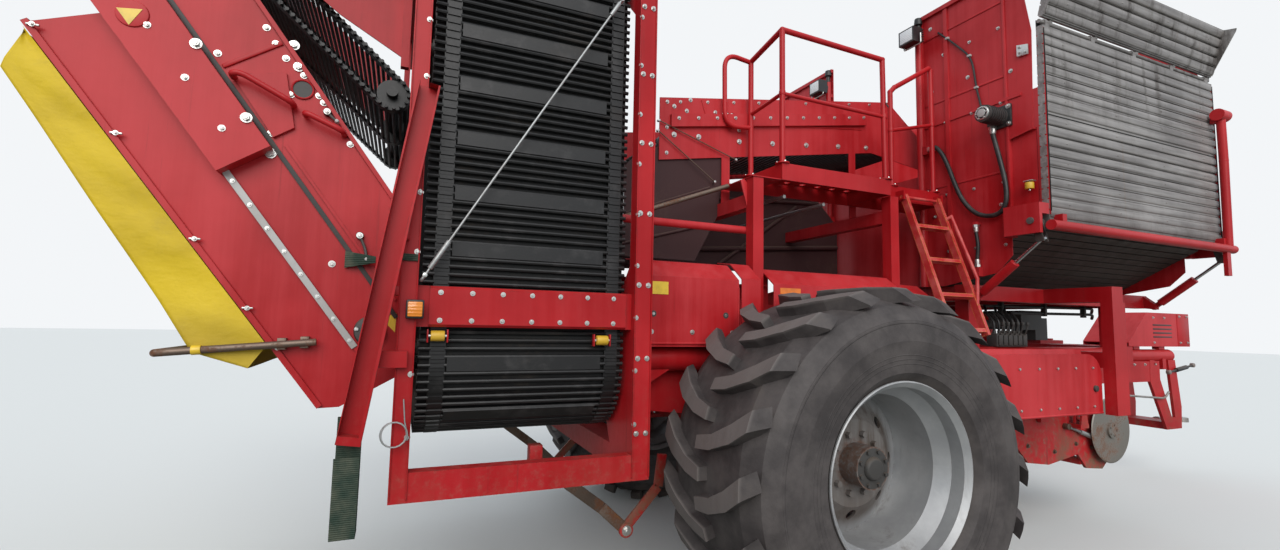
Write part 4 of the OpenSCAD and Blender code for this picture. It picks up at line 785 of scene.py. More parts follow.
def ring_at(s, inset):
    """Place across and up on the ring at distance s from its lower left bend, and the outward direction."""
    flat, tall = 2 * (RING_HALF - RING_CORNER), RING_TOP - RING_LOW - 2 * RING_CORNER
    radius = RING_CORNER - inset
    quarter = math.pi * radius / 2
    middle = (RING_LOW + RING_TOP) / 2
    s %= 2 * flat + 2 * tall + 4 * quarter
    for turn, (run, corner_y, corner_z) in enumerate(((flat, 1, -1), (tall, 1, 1), (flat, -1, 1), (tall, -1, -1))):
        out_angle = math.radians(-90 + 90 * turn)
        out = Vector((math.cos(out_angle), math.sin(out_angle)))
        centre = Vector((corner_y * flat / 2, corner_z * tall / 2 + middle))
        if s < run:
            ahead = Vector((-out.y, out.x))
            return centre - ahead * (run - s) + out * radius, out
        s -= run
        if s < quarter:
            angle = out_angle + s / radius
            out = Vector((math.cos(angle), math.sin(angle)))
            return centre + out * radius, out
        s -= quarter
    return ring_at(0, inset)


def ring_run(inset):
    return (4 * (RING_HALF - RING_CORNER) + 2 * (RING_TOP - RING_LOW - 2 * RING_CORNER)
            + math.tau * (RING_CORNER - inset))


def add_ring_band(bm, x_low, x_high, inset_out, inset_in, steps):
    """Endless band round the ring, between two depths."""
    loops = []
    for i in range(steps):
        (outer, _), (inner, _) = (ring_at(ring_run(k) * i / steps, k) for k in (inset_out, inset_in))
        corners = ((x_low, outer), (x_high, outer), (x_high, inner), (x_low, inner))
        loops.append([bm.verts.new(at(x, p.x, p.y)) for x, p in corners])
    skin(bm, loops + loops[:1])


def add_annulus(bm, centre, along, outer, inner, sides=48):
    """Flat ring about centre, as thick as along is long, holed by inner."""
    axis = along.normalized()
    u = axis.orthogonal().normalized()
    w = axis.cross(u)
    corners = ((outer, 0), (outer, 1), (inner, 1), (inner, 0))
    loops = []
    for a in turns(sides):
        way = u * math.cos(a) + w * math.sin(a)
        loops.append([bm.verts.new(centre + way * r + along * t) for r, t in corners])
    skin(bm, loops + loops[:1])


def add_flat_bar(bm, x, length, place, out, foot, crown, height):
    """Flat bar across the ring web: its cross-section narrows from foot to crown, both half widths."""
    along = Vector((-out.y, out.x))
    section = [place + along * foot, place - along * foot,
               place - along * crown + out * height, place + along * crown + out * height]
    add_plate(bm, [at(x, p.x, p.y) for p in section], Vector((length * MM, 0, 0)))


def add_guide_wheel(bm, x, y, z):
    """Spoked wheel that turns the web in a corner."""
    add_annulus(bm, at(x, y, z), Vector((GUIDE_WIDTH * MM, 0, 0)), 0.270, 0.222)
    add_round(bm, at(x - 8, y, z), at(x + GUIDE_WIDTH + 8, y, z), 0.058, 32, bevel=0.003)
    for a in turns(5):
        add_box(bm, at(x + 12, y - 24, z + 45), at(x + 38, y + 24, z + 230), 0.003, Matrix.Rotation(a, 3, "X"),
                at(x, y, z))


def dress_ring_web():
    """The ring web: rubber-sleeved bars, flat carriers, cleated belts, guide wheels and the liner behind."""
    run = ring_run(RING_INSET)
    first, last = RING_X0, RING_X0 + RING_LENGTH
    bars, plates, wheels, liner = (bmesh.new() for _ in range(4))
    for i in range(RING_BARS):
        place, _ = ring_at(run * i / RING_BARS, RING_INSET)
        add_round(bars, at(first, place.x, place.y), at(last, place.x, place.y), 0.0088, 8)
        between = run * (i + 0.5) / RING_BARS
        if i % PLATE_EVERY == 0:
            add_flat_bar(plates, first + 108, RING_LENGTH - 216, *ring_at(between, 5), 31, 28, 5)
        for x in RING_BELTS:
            add_flat_bar(plates, first + x + 4, BELT_WIDTH - 8, *ring_at(between, 6), 11, 8, 7)
    web = finish_piece("ring_bars", bars, BARS, 40)
    for x in RING_BELTS:
        add_ring_band(plates, first + x, first + x + BELT_WIDTH, 4, 16, 160)
    finish_piece("ring_carriers", plates, BARS)
    add_ring_band(liner, first + 6, last - 6, 24, 28, 120)
    finish_piece("ring_liner", liner, LINER, 50)
    for y in (RING_CORNER - RING_HALF, RING_HALF - RING_CORNER):
        for z in (RING_LOW + RING_CORNER, RING_TOP - RING_CORNER):
            add_round(wheels, at(first - 14.7, y, z), at(last + 19.7, y, z), 0.030, 24)
            for x in RING_BELTS:
                add_guide_wheel(wheels, first + x + (BELT_WIDTH - GUIDE_WIDTH) / 2, y, z)
    finish_piece("ring_wheels", wheels, IRON, 35)
    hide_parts("elevator_web")


def loop_at(s, length, radius):
    """Point along a belt's path, with its straight run along x."""
    arc = math.pi * radius
    s %= 2 * length + 2 * arc
    if s < length:
        return s, -radius
    if s < length + arc:
        angle = (s - length) / radius - math.pi / 2
        return length + radius * math.cos(angle), radius * math.sin(angle)
    if s < 2 * length + arc:
        return 2 * length + arc - s, radius
    angle = (s - 2 * length - arc) / radius + math.pi / 2
    return radius * math.cos(angle), radius * math.sin(angle)


BELT = 16
BAR_PITCH = 95
SLEEVE = 0.0082
# Each straight web: its two roller axes, outside radius, half width, and how many sleeves to a bar pitch
WEBS = {
    "rear_web": ((-150, 300), (2200, 300), 90, 929, 2),
    "upper_web": ((-2070, 2490), (-2960, 3290), 80, 585, 3),
    "table_web": ((-500, 2560), (1540, 2860), 70, 335, 2),
    "main_web": ((-760, 1093), (2100, 742), 80, 618, 2),
}


def dress_straight_webs():
    """Rubber sleeves round the loops of the straight webs."""
    for name, (start, end, outside, half, fill) in WEBS.items():
        if name == "rear_web":
            ends = [CHANNEL_FOOT + CHANNEL_UP * s + CHANNEL_OUT * v for s, v in (start, end)]
            start, end = ((p.x, p.z) for p in ends)
        start, end = Vector(start), Vector(end)
        length = (end - start).length
        ahead = (end - start) / length
        over = Vector((-ahead.y, ahead.x))
        radius = outside - BELT / 2
        run = 2 * length + math.tau * radius
        count = math.floor(run / BAR_PITCH) * fill
        bm = bmesh.new()
        for i in range(count):
            s, v = loop_at(run * i / count, length, radius)
            p = start + ahead * s + over * v
            add_round(bm, at(p.x, -half, p.y), at(p.x, half, p.y), SLEEVE, 8)
        finish_piece(name + "_sleeves", bm, BARS, 40)


# Fittings of the rear channel

BIG_WASHERS = ((1009, 392), (915, 670), (837, 640), (719, 385), (595, 381), (1560, 392), (1900, 392), (2230, 392))
SMALL_BOLTS = ((1009, 624), (945, 619), (883, 619), (986, 432), (660, 423), (503, 635), (683, 641), (713, 641),
               (757, 560), (802, 638), (140, 330), (1300, 560), (1490, 632), (1680, 560), (1860, 632), (2080, 560))
LATCHES = ((642, 631, 52, 8), (180, 470, 92, -30), (40, 520, 70, 24))
COVER_PROUD = 65
EDGE_CLIPS = ((1262, 22), (857, 24), (438, 20), (146, 20), (-28, 20))


def dress_channel():
    """Bolts, clips, handles, pale guide strip, latches and a dark strip of painted shade beside the cover, on both side
    panels.
    """
    zinc, red, pale, dark = (bmesh.new() for _ in range(4))
    for side, out, _ in both_sides():

        def on(s, v, proud=0):
            return channel(s, v, side * (CHANNEL_Y + proud))

        for s, v in BIG_WASHERS:
            cover = COVER_PROUD if v < 395 and s > 600 else 0
            add_round(zinc, on(s, v, cover), on(s, v, cover + 3), 0.019, 20, bevel=0.0008)
            add_bolt(zinc, on(s, v, cover + 3), out, 0.022, 0.011)
        for s, v in SMALL_BOLTS:
            add_bolt(zinc, on(s, v), out, 0.015, 0.008)
        for k in range(9):
            add_bolt(zinc, on(720 + k * 200, 300, COVER_PROUD), out, 0.014, 0.007)
        for s, v in EDGE_CLIPS:
            add_box(zinc, on(s + 13, v - 12, 12), on(s - 13, v + 12, 20), 0.002)
            add_bolt(zinc, on(s, v, 20), out, 0.010, 0.005)
        # Pale guide strip below the belt cover
        add_plate(pale, [on(600, 212, 12), on(600, 236, 12), on(-172, 236, 12), on(-172, 212, 12)], out * 0.004, 0.0008)
        for k in range(8):
            add_bolt(zinc, on(560 - k * 100, 224, 16), out, 0.009, 0.004)
        # Dark strip in the recess beside the cover: painted shade of the groove
        add_plate(dark, [on(2380, 397, 2), on(2380, 414, 2), on(-160, 414, 2), on(-160, 397, 2)], out * 0.006, 0.001)
        # Hand bars on their bracket
        for bar in (((883, 430, 14), (883, 430, 62), (867, 459, 62), (708, 543, 62), (708, 543, 14)),
                    ((662, 560, 14), (662, 560, 56), (542, 636, 56), (542, 636, 2))):
            add_pipe(red, [on(*place) for place in bar], 0.011, 14, 0.03)
        # Latches: a bent lever on a boss
        for s, v, length, lean in LATCHES:
            add_round(dark, on(s, v, 0), on(s, v, 22), 0.014, 18, bevel=0.002)
            add_bolt(zinc, on(s, v, 22), out, 0.014, 0.007)
            add_pipe(dark, [on(s, v, 16), on(s - length * 0.6, v + lean * 0.4, 20), on(s - length, v + lean, 34)],
                     0.0055, 10, 0.02)
            add_round(pale, on(s - length, v + lean, 30), on(s - length, v + lean, 46), 0.009, 14, 0.006, 0.001)
        # Inspection hole with its rolled edge, and the roller cap beside it
        add_round(dark, on(757, 605, 0.5), on(757, 605, 2), 0.034, 32)
        add_pipe(red, [on(757 + 36 * math.cos(a), 605 + 36 * math.sin(a), 3) for a in turns(28) + [math.tau]],
                 0.004, 8, 0.001)
        add_round(dark, on(2200, 300, COVER_PROUD + 1), on(2200, 300, COVER_PROUD + 19), 0.062, 32, 0.055, 0.003)
        add_round(dark, on(-150, 300, 1), on(-150, 300, 26), 0.058, 32, 0.052, 0.003)
        for a in turns(4, 0.5):
            add_bolt(zinc, on(-150 + 44 * math.cos(a), 300 + 44 * math.sin(a), 24), out, 0.011, 0.006)
        # Stiffening folds across the panel
        for s in (930, 1420, 1900):
            add_plate(red, [on(s, 420, 0), on(s + 16, 420, 0), on(s + 16, 640, 0), on(s, 640, 0)], out * 0.007, 0.003)
    finish_piece("channel_bolts", zinc, ZINC)
    finish_piece("channel_handles", red, RED, 40)
    finish_piece("channel_strips", pale, PALE)
    finish_piece("channel_latches_and_groove_shade", dark, IRON, 35)


def dress_tarp():
    """The tube that spreads the cloth's hem, its brackets and the yellow strap round it."""
    tube, strap = bmesh.new(), bmesh.new()
    for _, _, on in both_sides():
        y = TARP_TUBE_Y
        add_pipe(tube, [on(-2735, y, 1308), on(-2262, y, 1347)], 0.013, 16)
        for x in (-2372, -2300):
            z = 1310 + (x + 2720) * 37 / 450
            add_box(tube, on(x - 14, y, z - 20), on(x + 14, y - 42, z + 22), 0.002)
        add_round(strap, on(-2634, y, 1317), on(-2606, y, 1319), 0.0165, 20, bevel=0.001)
    add_pipe(tube, [at(-2735, -TARP_TUBE_Y, 1308), at(-2735, TARP_TUBE_Y, 1308)], 0.013, 16)
    finish_piece("tarp_tube", tube, RUSTY, 40)
    finish_piece("tarp_strap", strap, YELLOW)


def dress_elevator():
    """Stay rods, rollers, straps, column bolts, marker lamps and hooks of the ring elevator."""
    steel, zinc, yellow, green, red, dark, amber = (bmesh.new() for _ in range(7))
    for side, out, on in both_sides():
        low, high = on(-1903, COLUMN_FACE + 10, 1607), on(-1127, COLUMN_FACE + 10, 2907)
        ahead = (high - low).normalized()
        add_round(steel, low, high, 0.0048, 12)
        add_round(steel, low + ahead * 0.03, low + ahead * 0.16, 0.010, 14, bevel=0.002)
        add_round(steel, high - ahead * 0.10, high - ahead * 0.02, 0.009, 14, bevel=0.002)
        for end, turn in ((low, 1), (high, -1)):
            add_pipe(steel, [end, end - ahead * turn * 0.018, end - ahead * turn * 0.026 - out * 0.012,
                             end - ahead * turn * 0.010 - out * 0.024], 0.006, 10, 0.008)
            add_round(zinc, end - out * 0.034, end + out * 0.010, 0.009, 16, bevel=0.001)
        # Guide rollers under the cross panel and at the top
        for x, z in ((-1162, 1362), (-1843, 1375), (-1162, 3180), (-1843, 3180)):
            add_round(yellow, on(x - 26, 1028, z), on(x + 26, 1028, z), 0.021, 24, bevel=0.003)
            add_round(zinc, on(x - 36, 1028, z), on(x + 36, 1028, z), 0.007, 12)
            for cheek in (x - 37, x + 37):
                add_box(red, on(cheek - 3, 1012, z - 26), on(cheek + 3, 1036, z + 26), 0.001)
        # Folded edge strips and bolt rows down both columns
        for x in (-1035, -1920):
            for k in range(12):
                add_bolt(zinc, on(x + (14 if x > -1500 else -14), COLUMN_FACE, 1000 + k * 232), out, 0.013, 0.007)
        for x0, x1 in ((-1030, -1024), (-951, -945), (-1990, -1984), (-1931, -1925)):
            add_box(red, on(x0, COLUMN_FACE - 1, 772), on(x1, COLUMN_FACE + 6, 3748), 0.001)
        for k in range(7):
            for z in (1545, 1436):
                add_bolt(zinc, on(-1840 + k * 120, 1052, z), out, 0.012, 0.006)
        # Marker lamp on the column, with its lens
        add_box(dark, on(-1964, COLUMN_FACE + 1, 1440), on(-1900, COLUMN_FACE + 33, 1512), 0.006)
        add_box(amber, on(-1958, COLUMN_FACE + 32, 1448), on(-1906, COLUMN_FACE + 41, 1504), 0.004)
        # Guard's brackets on the column
        for x0, z0, x1, z1 in ((-1989, 1928, -1952, 1874), (-2004, 1781, -1965, 1736), (-2030, 1560, -1990, 1525)):
            add_box(red, on(x0, COLUMN_FACE - 1, z0), on(x1, COLUMN_FACE + 37, z1), 0.003)
        # Green straps: one across the channel's front edge, one over the column
        add_plate(green, [on(-2188, 958, 1694), on(-2188, 958, 1629), on(-2079, 1003, 1650), on(-2079, 1003, 1675)],
                  out * 0.006, 0.001)
        add_plate(green, profile(on, COLUMN_FACE + 2, (-2014, 1686), (-2014, 1659), (-1930, 1659), (-1930, 1686)),
                  out * 0.006, 0.001)
        # Loop of fencing wire left on the sill, and its tail
        if side < 0:
            coil = [on(-1981 + (45 + 2 * math.sin(a * 0.7)) * math.cos(a), 1094 + a * 0.6, 1016 + 45 * math.sin(a))
                    for a in (math.tau * k / 18 for k in range(54))]
            add_pipe(steel, [on(-1954, 1094, 1143), on(-1946, 1094, 1060)] + coil, 0.0025, 8, 0.001)
    finish_piece("elevator_stays", steel, GALVANISED, 40)
    finish_piece("elevator_bolts", zinc, ZINC)
    finish_piece("guide_rollers", yellow, ROLLER, 40)
    finish_piece("green_straps", green, STRAP)
    finish_piece("elevator_edges", red, RED)
    finish_piece("marker_lamps", dark, PLASTIC, 35)
    finish_piece("marker_lenses", amber, AMBER, 35)


def dress_underside():
    """Brace under the elevator's front column, with its worn strut and gusset."""
    worn, red, zinc = (bmesh.new() for _ in range(3))
    for _, out, on in both_sides():
        y = 690

        def bar(bm, points, wide, thick):
            for (xa, za), (xb, zb) in zip(points, points[1:]):
                a, b = on(xa, y, za), on(xb, y, zb)
                across = (b - a).cross(out).normalized() * wide / 2 * MM
                add_plate(bm, [a - across, b - across, b + across, a + across], out * thick * MM, 0.002)

        bar(worn, ((-1375, 800), (-1024, 534), (-895, 415)), 56, 12)
        bar(red, ((-902, 420), (-721, 609), (-700, 770)), 50, 14)
        add_plate(red, profile(on, y, (-843, 1210), (-744, 1203), (-939, 1000), (-941, 1086)), out * 0.010, 0.002)
        add_round(red, on(-895, y - 4, 415), on(-895, y + 22, 415), 0.036, 24, bevel=0.003)
        add_bolt(zinc, on(-895, y + 22, 415), out, 0.030, 0.014)
        add_bolt(zinc, on(-871, y + 10, 1128), out, 0.020, 0.010)
        # Tie from the sill back to the long tube
        add_box(red, on(-1400, y, 770), on(-1340, y + 60, 868), 0.004)
    finish_piece("brace_struts", worn, RUSTY)
    finish_piece("brace_plates", red, RED_LOW)
    finish_piece("brace_bolts", zinc, ZINC)


def dress_table():
    """Creases, bolts, thin stays, gussets and the pale bars below the picking table."""
    zinc, red, steel, pale, soiled_and_shaded_plates = (bmesh.new() for _ in range(5))
    for _, out, on in both_sides():
        for x, z in ((-405, 2765), (-492, 2780), (-21, 2700), (-200, 2790), (-380, 2840)):
            add_bolt(zinc, on(x, TABLE_FACE, z), out, 0.016, 0.008)
        for x, z in ((-492, 2600), (-320, 2612), (-21, 2625), (240, 2650), (520, 2680), (800, 2712), (1060, 2740)):
            add_round(zinc, on(x, TABLE_FACE, z), on(x, TABLE_FACE + 3, z), 0.017, 20)
            add_bolt(zinc, on(x, TABLE_FACE + 3, z), out, 0.020, 0.010)
        # Pressed creases of the side plate
        add_pipe(red, profile(on, TABLE_FACE, (-300, 2854), (-262, 2745), (-237, 2700), (142, 2765), (1020, 2870)),
                 0.006, 10, 0.03)
        # Two thin stays with their hooks
        for (xa, za), (xb, zb) in (((-601, 2668), (-53, 2497)), ((-606, 2605), (-208, 2334))):
            a, b = on(xa, 372, za), on(xb, 372, zb)
            add_round(steel, a, b, 0.0035, 10)
            for end in (a, b):
                add_round(zinc, end - out * 0.016, end + out * 0.006, 0.008, 14, bevel=0.001)
        # Gusset, grey bracket and side rail between the elevator and the platform's post
        add_plate(red, profile(on, 664, (-214, 2280), (-186, 2285), (-104, 2200), (-104, 2060), (-150, 2060)),
                  out * 0.008, 0.002)
        add_pipe(red, [on(-945, 640, 1992), on(-110, 640, 1992)], 0.022, 16)
        add_box(pale, on(-948, 600, 1950), on(-925, 650, 2150), 0.003)
        add_pipe(steel, [on(-900, 600, 2010), on(-254, 600, 2252)], 0.014, 14)
        # Side plate of the transfer web, hung inside the table's own side plate: red paint near-black with soil and
        # painted shade
        add_plate(soiled_and_shaded_plates, profile(on, 343, (-585, 2520), (-120, 2570), (-170, 2125), (-330, 1830), (-880, 1830),
                                  (-915, 2250), (-740, 2440)), -out * 0.006, 0.002)
        for x0, z0, x1, z1 in ((-820, 1900, -260, 2060), (-860, 2060, -230, 2300)):
            add_pipe(soiled_and_shaded_plates, [on(x0, 346, z0), on(x1, 346, z1)], 0.009, 10)
    # Back wall of the transfer space, seen below the table, near-black with soil and painted shade
    add_plate(soiled_and_shaded_plates, profile(at, 334, (-640, 1860), (1420, 1860), (1420, 2300), (1180, 2530), (-120, 2560)),
              Vector((0, 0.006, 0)), 0.002)
    for x0, z0, x1, z1, r in ((-560, 1960, 1400, 2110, 20), (-300, 2380, 1200, 2470, 14), (240, 1900, 980, 2420, 16)):
        add_pipe(soiled_and_shaded_plates, [at(x0, 322, z0), at(x1, 322, z1)], r * MM, 12)
    for k, z in enumerate((2222, 2204)):
        add_pipe(pale, [at(120 + k * 300, -640, z), at(120 + k * 300, 640, z)], 0.011, 12)
    finish_piece("table_bolts", zinc, ZINC)
    finish_piece("table_creases", red, RED_FADED, 40)
    finish_piece("table_stays", steel, RUSTY, 40)
    finish_piece("table_bars", pale, GALVANISED, 40)
    finish_piece("transfer_plates", soiled_and_shaded_plates, SOILED_AND_SHADED)


def dress_railings():
    """Loop handles, welded feet, collars and hooks of the railings."""
    red, zinc, dark = (bmesh.new() for _ in range(3))
    for _, _, on in both_sides():
        add_pipe(red, profile(on, 400, (40, 3150), (-110, 3168), (-160, 3120), (-156, 2752), (-110, 2700), (40, 2712)),
                 0.015, 16, 0.05)
        for x, py in ((40, 725), (40, 400), (850, 725), (1020, 620), (1410, 620)):
            add_round(red, on(x, py, 2390.5), on(x, py, 2398), 0.042, 24, bevel=0.002)
            for a in turns(3):
                off = Vector((math.cos(a + 0.4), math.sin(a + 0.4), 0)) * 0.031
                add_bolt(zinc, on(x, py, 2398) + off, (0, 0, 1), 0.010, 0.006)
            add_round(red, on(x, py, 2398), on(x, py, 2406), 0.023, 20, 0.018)
        for x, py, z in ((850, 725, 2812), (40, 725, 2822), (1020, 620, 2782), (1410, 620, 2880)):
            add_round(red, on(x, py, z - 14), on(x, py, z + 14), 0.0195, 20, bevel=0.002)
        add_pipe(dark, [on(848, 742, 2900), on(848, 752, 2880), on(860, 752, 2868), on(866, 742, 2880)],
                 0.004, 8, 0.006)
    finish_piece("rail_handles", red, RED, 40)
    finish_piece("rail_bolts", zinc, ZINC)
    finish_piece("rail_hooks", dark, IRON, 40)


# Bunker, gate and flap

GATE_FACE = -1316
GATE_LOW, GATE_SPLIT, GATE_TOP = 2090, 2740, 3300
GATE_X = (1516, 3484)
FLAP_HINGE = (-1300, 3332)
FLAP_TILT = 14
RIVET_X = (1700, 2230, 2770, 3300)


def slat_strips(bm, count, length, place):
    """Rounded slats side by side over a length; place turns (up, proud) millimetres into a point across and up."""
    pitch = length / count
    for i in range(count):
        low, high = i * pitch + 11, (i + 1) * pitch - 2
        half = (high - low) / 2
        outline = []
        for k in range(9):
            a = math.pi * k / 8
            outline.append(place(low + half - half * math.cos(a), 7.5 * math.sin(a) ** 0.8 if 0 < k < 8 else 0))
        outline += [place(high, -2), place(low, -2)]
        add_plate(bm, [at(GATE_X[0] + 3, y, z) for y, z in outline], Vector(((GATE_X[1] - GATE_X[0] - 6) * MM, 0, 0)))
        if i % 2:
            for x in RIVET_X:
                y, z = place(low + half, 7)
                add_round(bm, at(x, y, z), at(x, y - 4, z), 0.007, 12, 0.004)


def dress_gate():
    """Slats of the gate and its flap, side rails, rubber lips, a near-black lip as painted shade in the gap under the
    flap's hinge, run-on rollers and hinge plates.
    """
    slats, red, dark, yellow, zinc = (bmesh.new() for _ in range(5))
    slat_strips(slats, 10, GATE_SPLIT - GATE_LOW - 20, lambda up, proud: (GATE_FACE - proud, GATE_LOW + 14 + up))
    slat_strips(slats, 9, GATE_TOP - GATE_SPLIT - 16, lambda up, proud: (GATE_FACE - 2 - proud, GATE_SPLIT + 10 + up))
    finish_piece("gate_slats", slats, SLATS, 60, body="gate")
    for x, way in zip(GATE_X, (1, -1)):
        add_box(red, at(x, -1322, 2130), at(x + 6 * way, -1280, 3290), 0.002)
        add_box(dark, at(x + way, -1328, 2150), at(x + 5 * way, -1320, 3280), 0.002)
    add_box(dark, at(GATE_X[0] + 4, -1318, 2741), at(GATE_X[1] - 4, -1310, 2747), 0.001)
    # Near-black rubber lip in the gap under the flap's hinge, dark as painted shade of that gap
    add_box(dark, at(GATE_X[0] + 2, -1284, 3282), at(GATE_X[1] - 2, -1279, 3346), 0.001)
    finish_piece("gate_edges", red, RED, body="gate")
    finish_piece("gate_lips", dark, LINER, body="gate")
    flap = bmesh.new()
    tilt = math.radians(FLAP_TILT)

    def tilted(y, z):
        return (FLAP_HINGE[0] + y * math.cos(tilt) - z * math.sin(tilt),
                FLAP_HINGE[1] + y * math.sin(tilt) + z * math.cos(tilt))

    slat_strips(flap, 5, 330, lambda up, proud: tilted(-24 - proud, 27 + up))
    finish_piece("flap_slats", flap, SLATS, 60, body="flap")
    # Yellow run-on rollers on the rear wall's edge, with their brackets, and the hinge plate above
    for x, way in ((1492, -1), (3508, 1)):
        add_round(yellow, at(x, -1222, 2300), at(x, -1222, 2340), 0.024, 24, bevel=0.003)
        add_round(zinc, at(x, -1222, 2290), at(x, -1222, 2350), 0.007, 14)
        add_box(zinc, at(x - 20, -1250, 2346), at(x + 20, -1196, 2352), 0.001)
        add_plate(zinc, [at(x, -1180, 3150), at(x, -1248, 3140), at(x, -1248, 3205), at(x, -1180, 3225)],
                  Vector((way * 0.008, 0, 0)), 0.002)
        for y, z in ((-1196, 3170), (-1232, 3160), (-1196, 3205)):
            add_bolt(zinc, at(x + way * 8, y, z), (way, 0, 0), 0.012, 0.007)
    finish_piece("gate_rollers", yellow, ROLLER, 40)
    finish_piece("gate_hinge_plates", zinc, ZINC)


CABLE = [(629, 3578), (700, 3500), (800, 3380), (862, 3300), (887, 3220), (905, 3060), (938, 2900), (951, 2809)]
WALL_BOLTS = ((560, 2240), (840, 2240), (1040, 2240), (560, 3160), (840, 3160), (1130, 3083), (1040, 3640), (560, 3640))
MOTOR_Y, MOTOR_Z = -1060, 2800
LAMP_Y = 508


def add_motor(dark, zinc, pale):
    """Bolted flange on the wall, cooling rings, bright end face and its bolts, and the upper port."""
    y, z = MOTOR_Y, MOTOR_Z
    add_box(dark, at(BUNKER_WALL - 16, y - 72, z - 72), at(BUNKER_WALL, y + 72, z + 72), 0.006)
    for dy in (-56, 56):
        for dz in (-56, 56):
            add_bolt(zinc, at(BUNKER_WALL - 16, y + dy, z + dz), (-1, 0, 0), 0.018, 0.010)
    for x in range(1340, 1470, 20):
        add_round(dark, at(x, y, z), at(x + 7, y, z), 0.0565, 32, bevel=0.001)
    add_round(zinc, at(1322, y, z), at(1310, y, z), 0.046, 32, 0.042, 0.002)
    add_round(pale, at(1311, y, z), at(1305, y, z), 0.028, 28, 0.026, 0.001)
    for a in turns(6):
        add_bolt(zinc, at(1310, y, z) + Vector((0, math.cos(a), math.sin(a))) * 0.036, (-1, 0, 0), 0.008, 0.004)
    add_round(zinc, at(HOSE_X, -1020, 2762), at(HOSE_X, -1020, 2742), 0.022, 6)


def add_lamp_backs(dark, zinc):
    """Ribbed back and bracket of each work lamp, and the beacon's post on its pole."""
    for side, _, on in both_sides():
        y = side * LAMP_Y
        for k in range(6):
            add_box(dark, at(1416, y - 56, 3530 + k * 17), at(1428, y + 56, 3536 + k * 17), 0.001)
        add_pipe(zinc, [at(1372, y - 72, 3575), at(1372, y - 72, 3500), at(1372, y + 72, 3500), at(1372, y + 72, 3575)],
                 0.005, 10, 0.012)
        add_round(dark, on(1470, 480, 3640), on(1470, 480, 3700), 0.020, 20, 0.016, 0.002)
        add_round(dark, on(1470, 480, 3700), on(1470, 480, 3752), 0.030, 24, 0.024, 0.004)


def dress_wall():
    """Cable with its clips, seams, ribs and bolts on the bunker's rear wall, with the motor and lamps."""
    dark, zinc, red, pale = (bmesh.new() for _ in range(4))
    for _, _, on in both_sides():
        add_pipe(dark, [on(BUNKER_WALL - 9, y, z) for y, z in CABLE], 0.0065, 10, 0.05)
        for y, z in CABLE[1:6:2]:
            add_box(pale, on(BUNKER_WALL - 19, y - 13, z - 8), on(BUNKER_WALL, y + 13, z + 8), 0.003)
        for y in (478, 1088):
            add_box(red, on(BUNKER_WALL - 7, y, 1960), on(BUNKER_WALL, y + 18, 3740), 0.002)
        for z in (2440, 3060, 3560):
            add_box(red, on(BUNKER_WALL - 5, 500, z), on(BUNKER_WALL, 1086, z + 14), 0.002)
        for y, z in WALL_BOLTS:
            add_bolt(zinc, on(BUNKER_WALL, y, z), (-1, 0, 0), 0.016, 0.008)
    add_motor(dark, zinc, pale)
    add_lamp_backs(dark, zinc)
    finish_piece("wall_cables", dark, HOSE, 35)
    finish_piece("wall_bolts", zinc, ZINC)
    finish_piece("wall_ribs", red, RED_FADED)
    finish_piece("wall_clips", pale, PALE)


def run_feed_pipes():
    """Pipes in their clamps under the bunker, and the valve block with its levers on the long tube."""
    pipes, block = bmesh.new(), bmesh.new()
    for _, _, on in both_sides():
        for dz in (0, -48):
            add_pipe(pipes, [on(1929, 600, 1617 + dz), on(3240, 600, 1632 + dz), on(3300, 560, 1600 + dz)],
                     0.011, 12, 0.05)
        for x in (2100, 2600, 3100):
            add_box(block, on(x, 582, 1556), on(x + 24, 618, 1650), 0.003)
    add_box(block, at(1850, -742, 1327), at(2180, -664, 1420), 0.006)
    for k in range(6):
        x = 1880 + k * 52
        add_box(block, at(x - 20, -752, 1338), at(x + 20, -738, 1408), 0.004)
        add_round(block, at(x, -703, 1420), at(x, -703, 1440), 0.014, 6)
        add_pipe(pipes, [at(x, -703, 1438), at(x, -703, 1500 + 8 * (k % 3)), at(x + 10, -640, 1560 + 8 * (k % 3)),
                         at(x + 60, -600, 1569 if k % 2 else 1617)], 0.009, 10, 0.03)
        add_pipe(block, [at(x, -745, 1408), at(x, -760, 1440), at(x, -768, 1480)], 0.005, 8, 0.01)
        add_round(block, at(x, -768, 1476), at(x, -770, 1500), 0.010, 14, 0.012, 0.002)
    finish_piece("feed_pipes", pipes, HOSE, 40)
    finish_piece("valve_block", block, IRON, 35)


def dress_wheels():
    """Wheel nuts on their studs, the hub's cap with its bolts, and the tyre valve."""
    for (side, out, _), word in zip(both_sides(), SIDE_WORDS):
        nuts, cap = bmesh.new(), bmesh.new()

        def around(radius, angle, depth):
            off = Vector((math.cos(angle) * radius, 0, math.sin(angle) * radius)) * MM
            return wheel_centre(side) + off + out * depth * MM

        for a in turns(10):
            add_round(nuts, around(137.5, a, -44), around(137.5, a, -38), 0.021, 18)
            add_round(nuts, around(137.5, a, -10), around(137.5, a, 44), 0.0095, 12, bevel=0.001)
            add_round(nuts, around(137.5, a, 4), around(137.5, a, 26), 0.017, 6, 0.016)
        for a in turns(8, 0.5):
            add_round(cap, around(78, a, 170), around(78, a, 181), 0.010, 6)
        add_round(cap, around(0, 0, 160), around(0, 0, 171), 0.094, 36, 0.090, 0.002)
        add_round(cap, around(0, 0, 170), around(0, 0, 190), 0.056, 32, 0.044, 0.006)
        add_pipe(nuts, [around(338, 0.9, -250), around(322, 0.9, -262), around(306, 0.9, -282)], 0.006, 10, 0.01)
        finish_piece("wheel_nuts_" + word, nuts, RUSTY, body="wheel_" + word)
        finish_piece("hub_cap_" + word, cap, IRON, body="wheel_" + word)


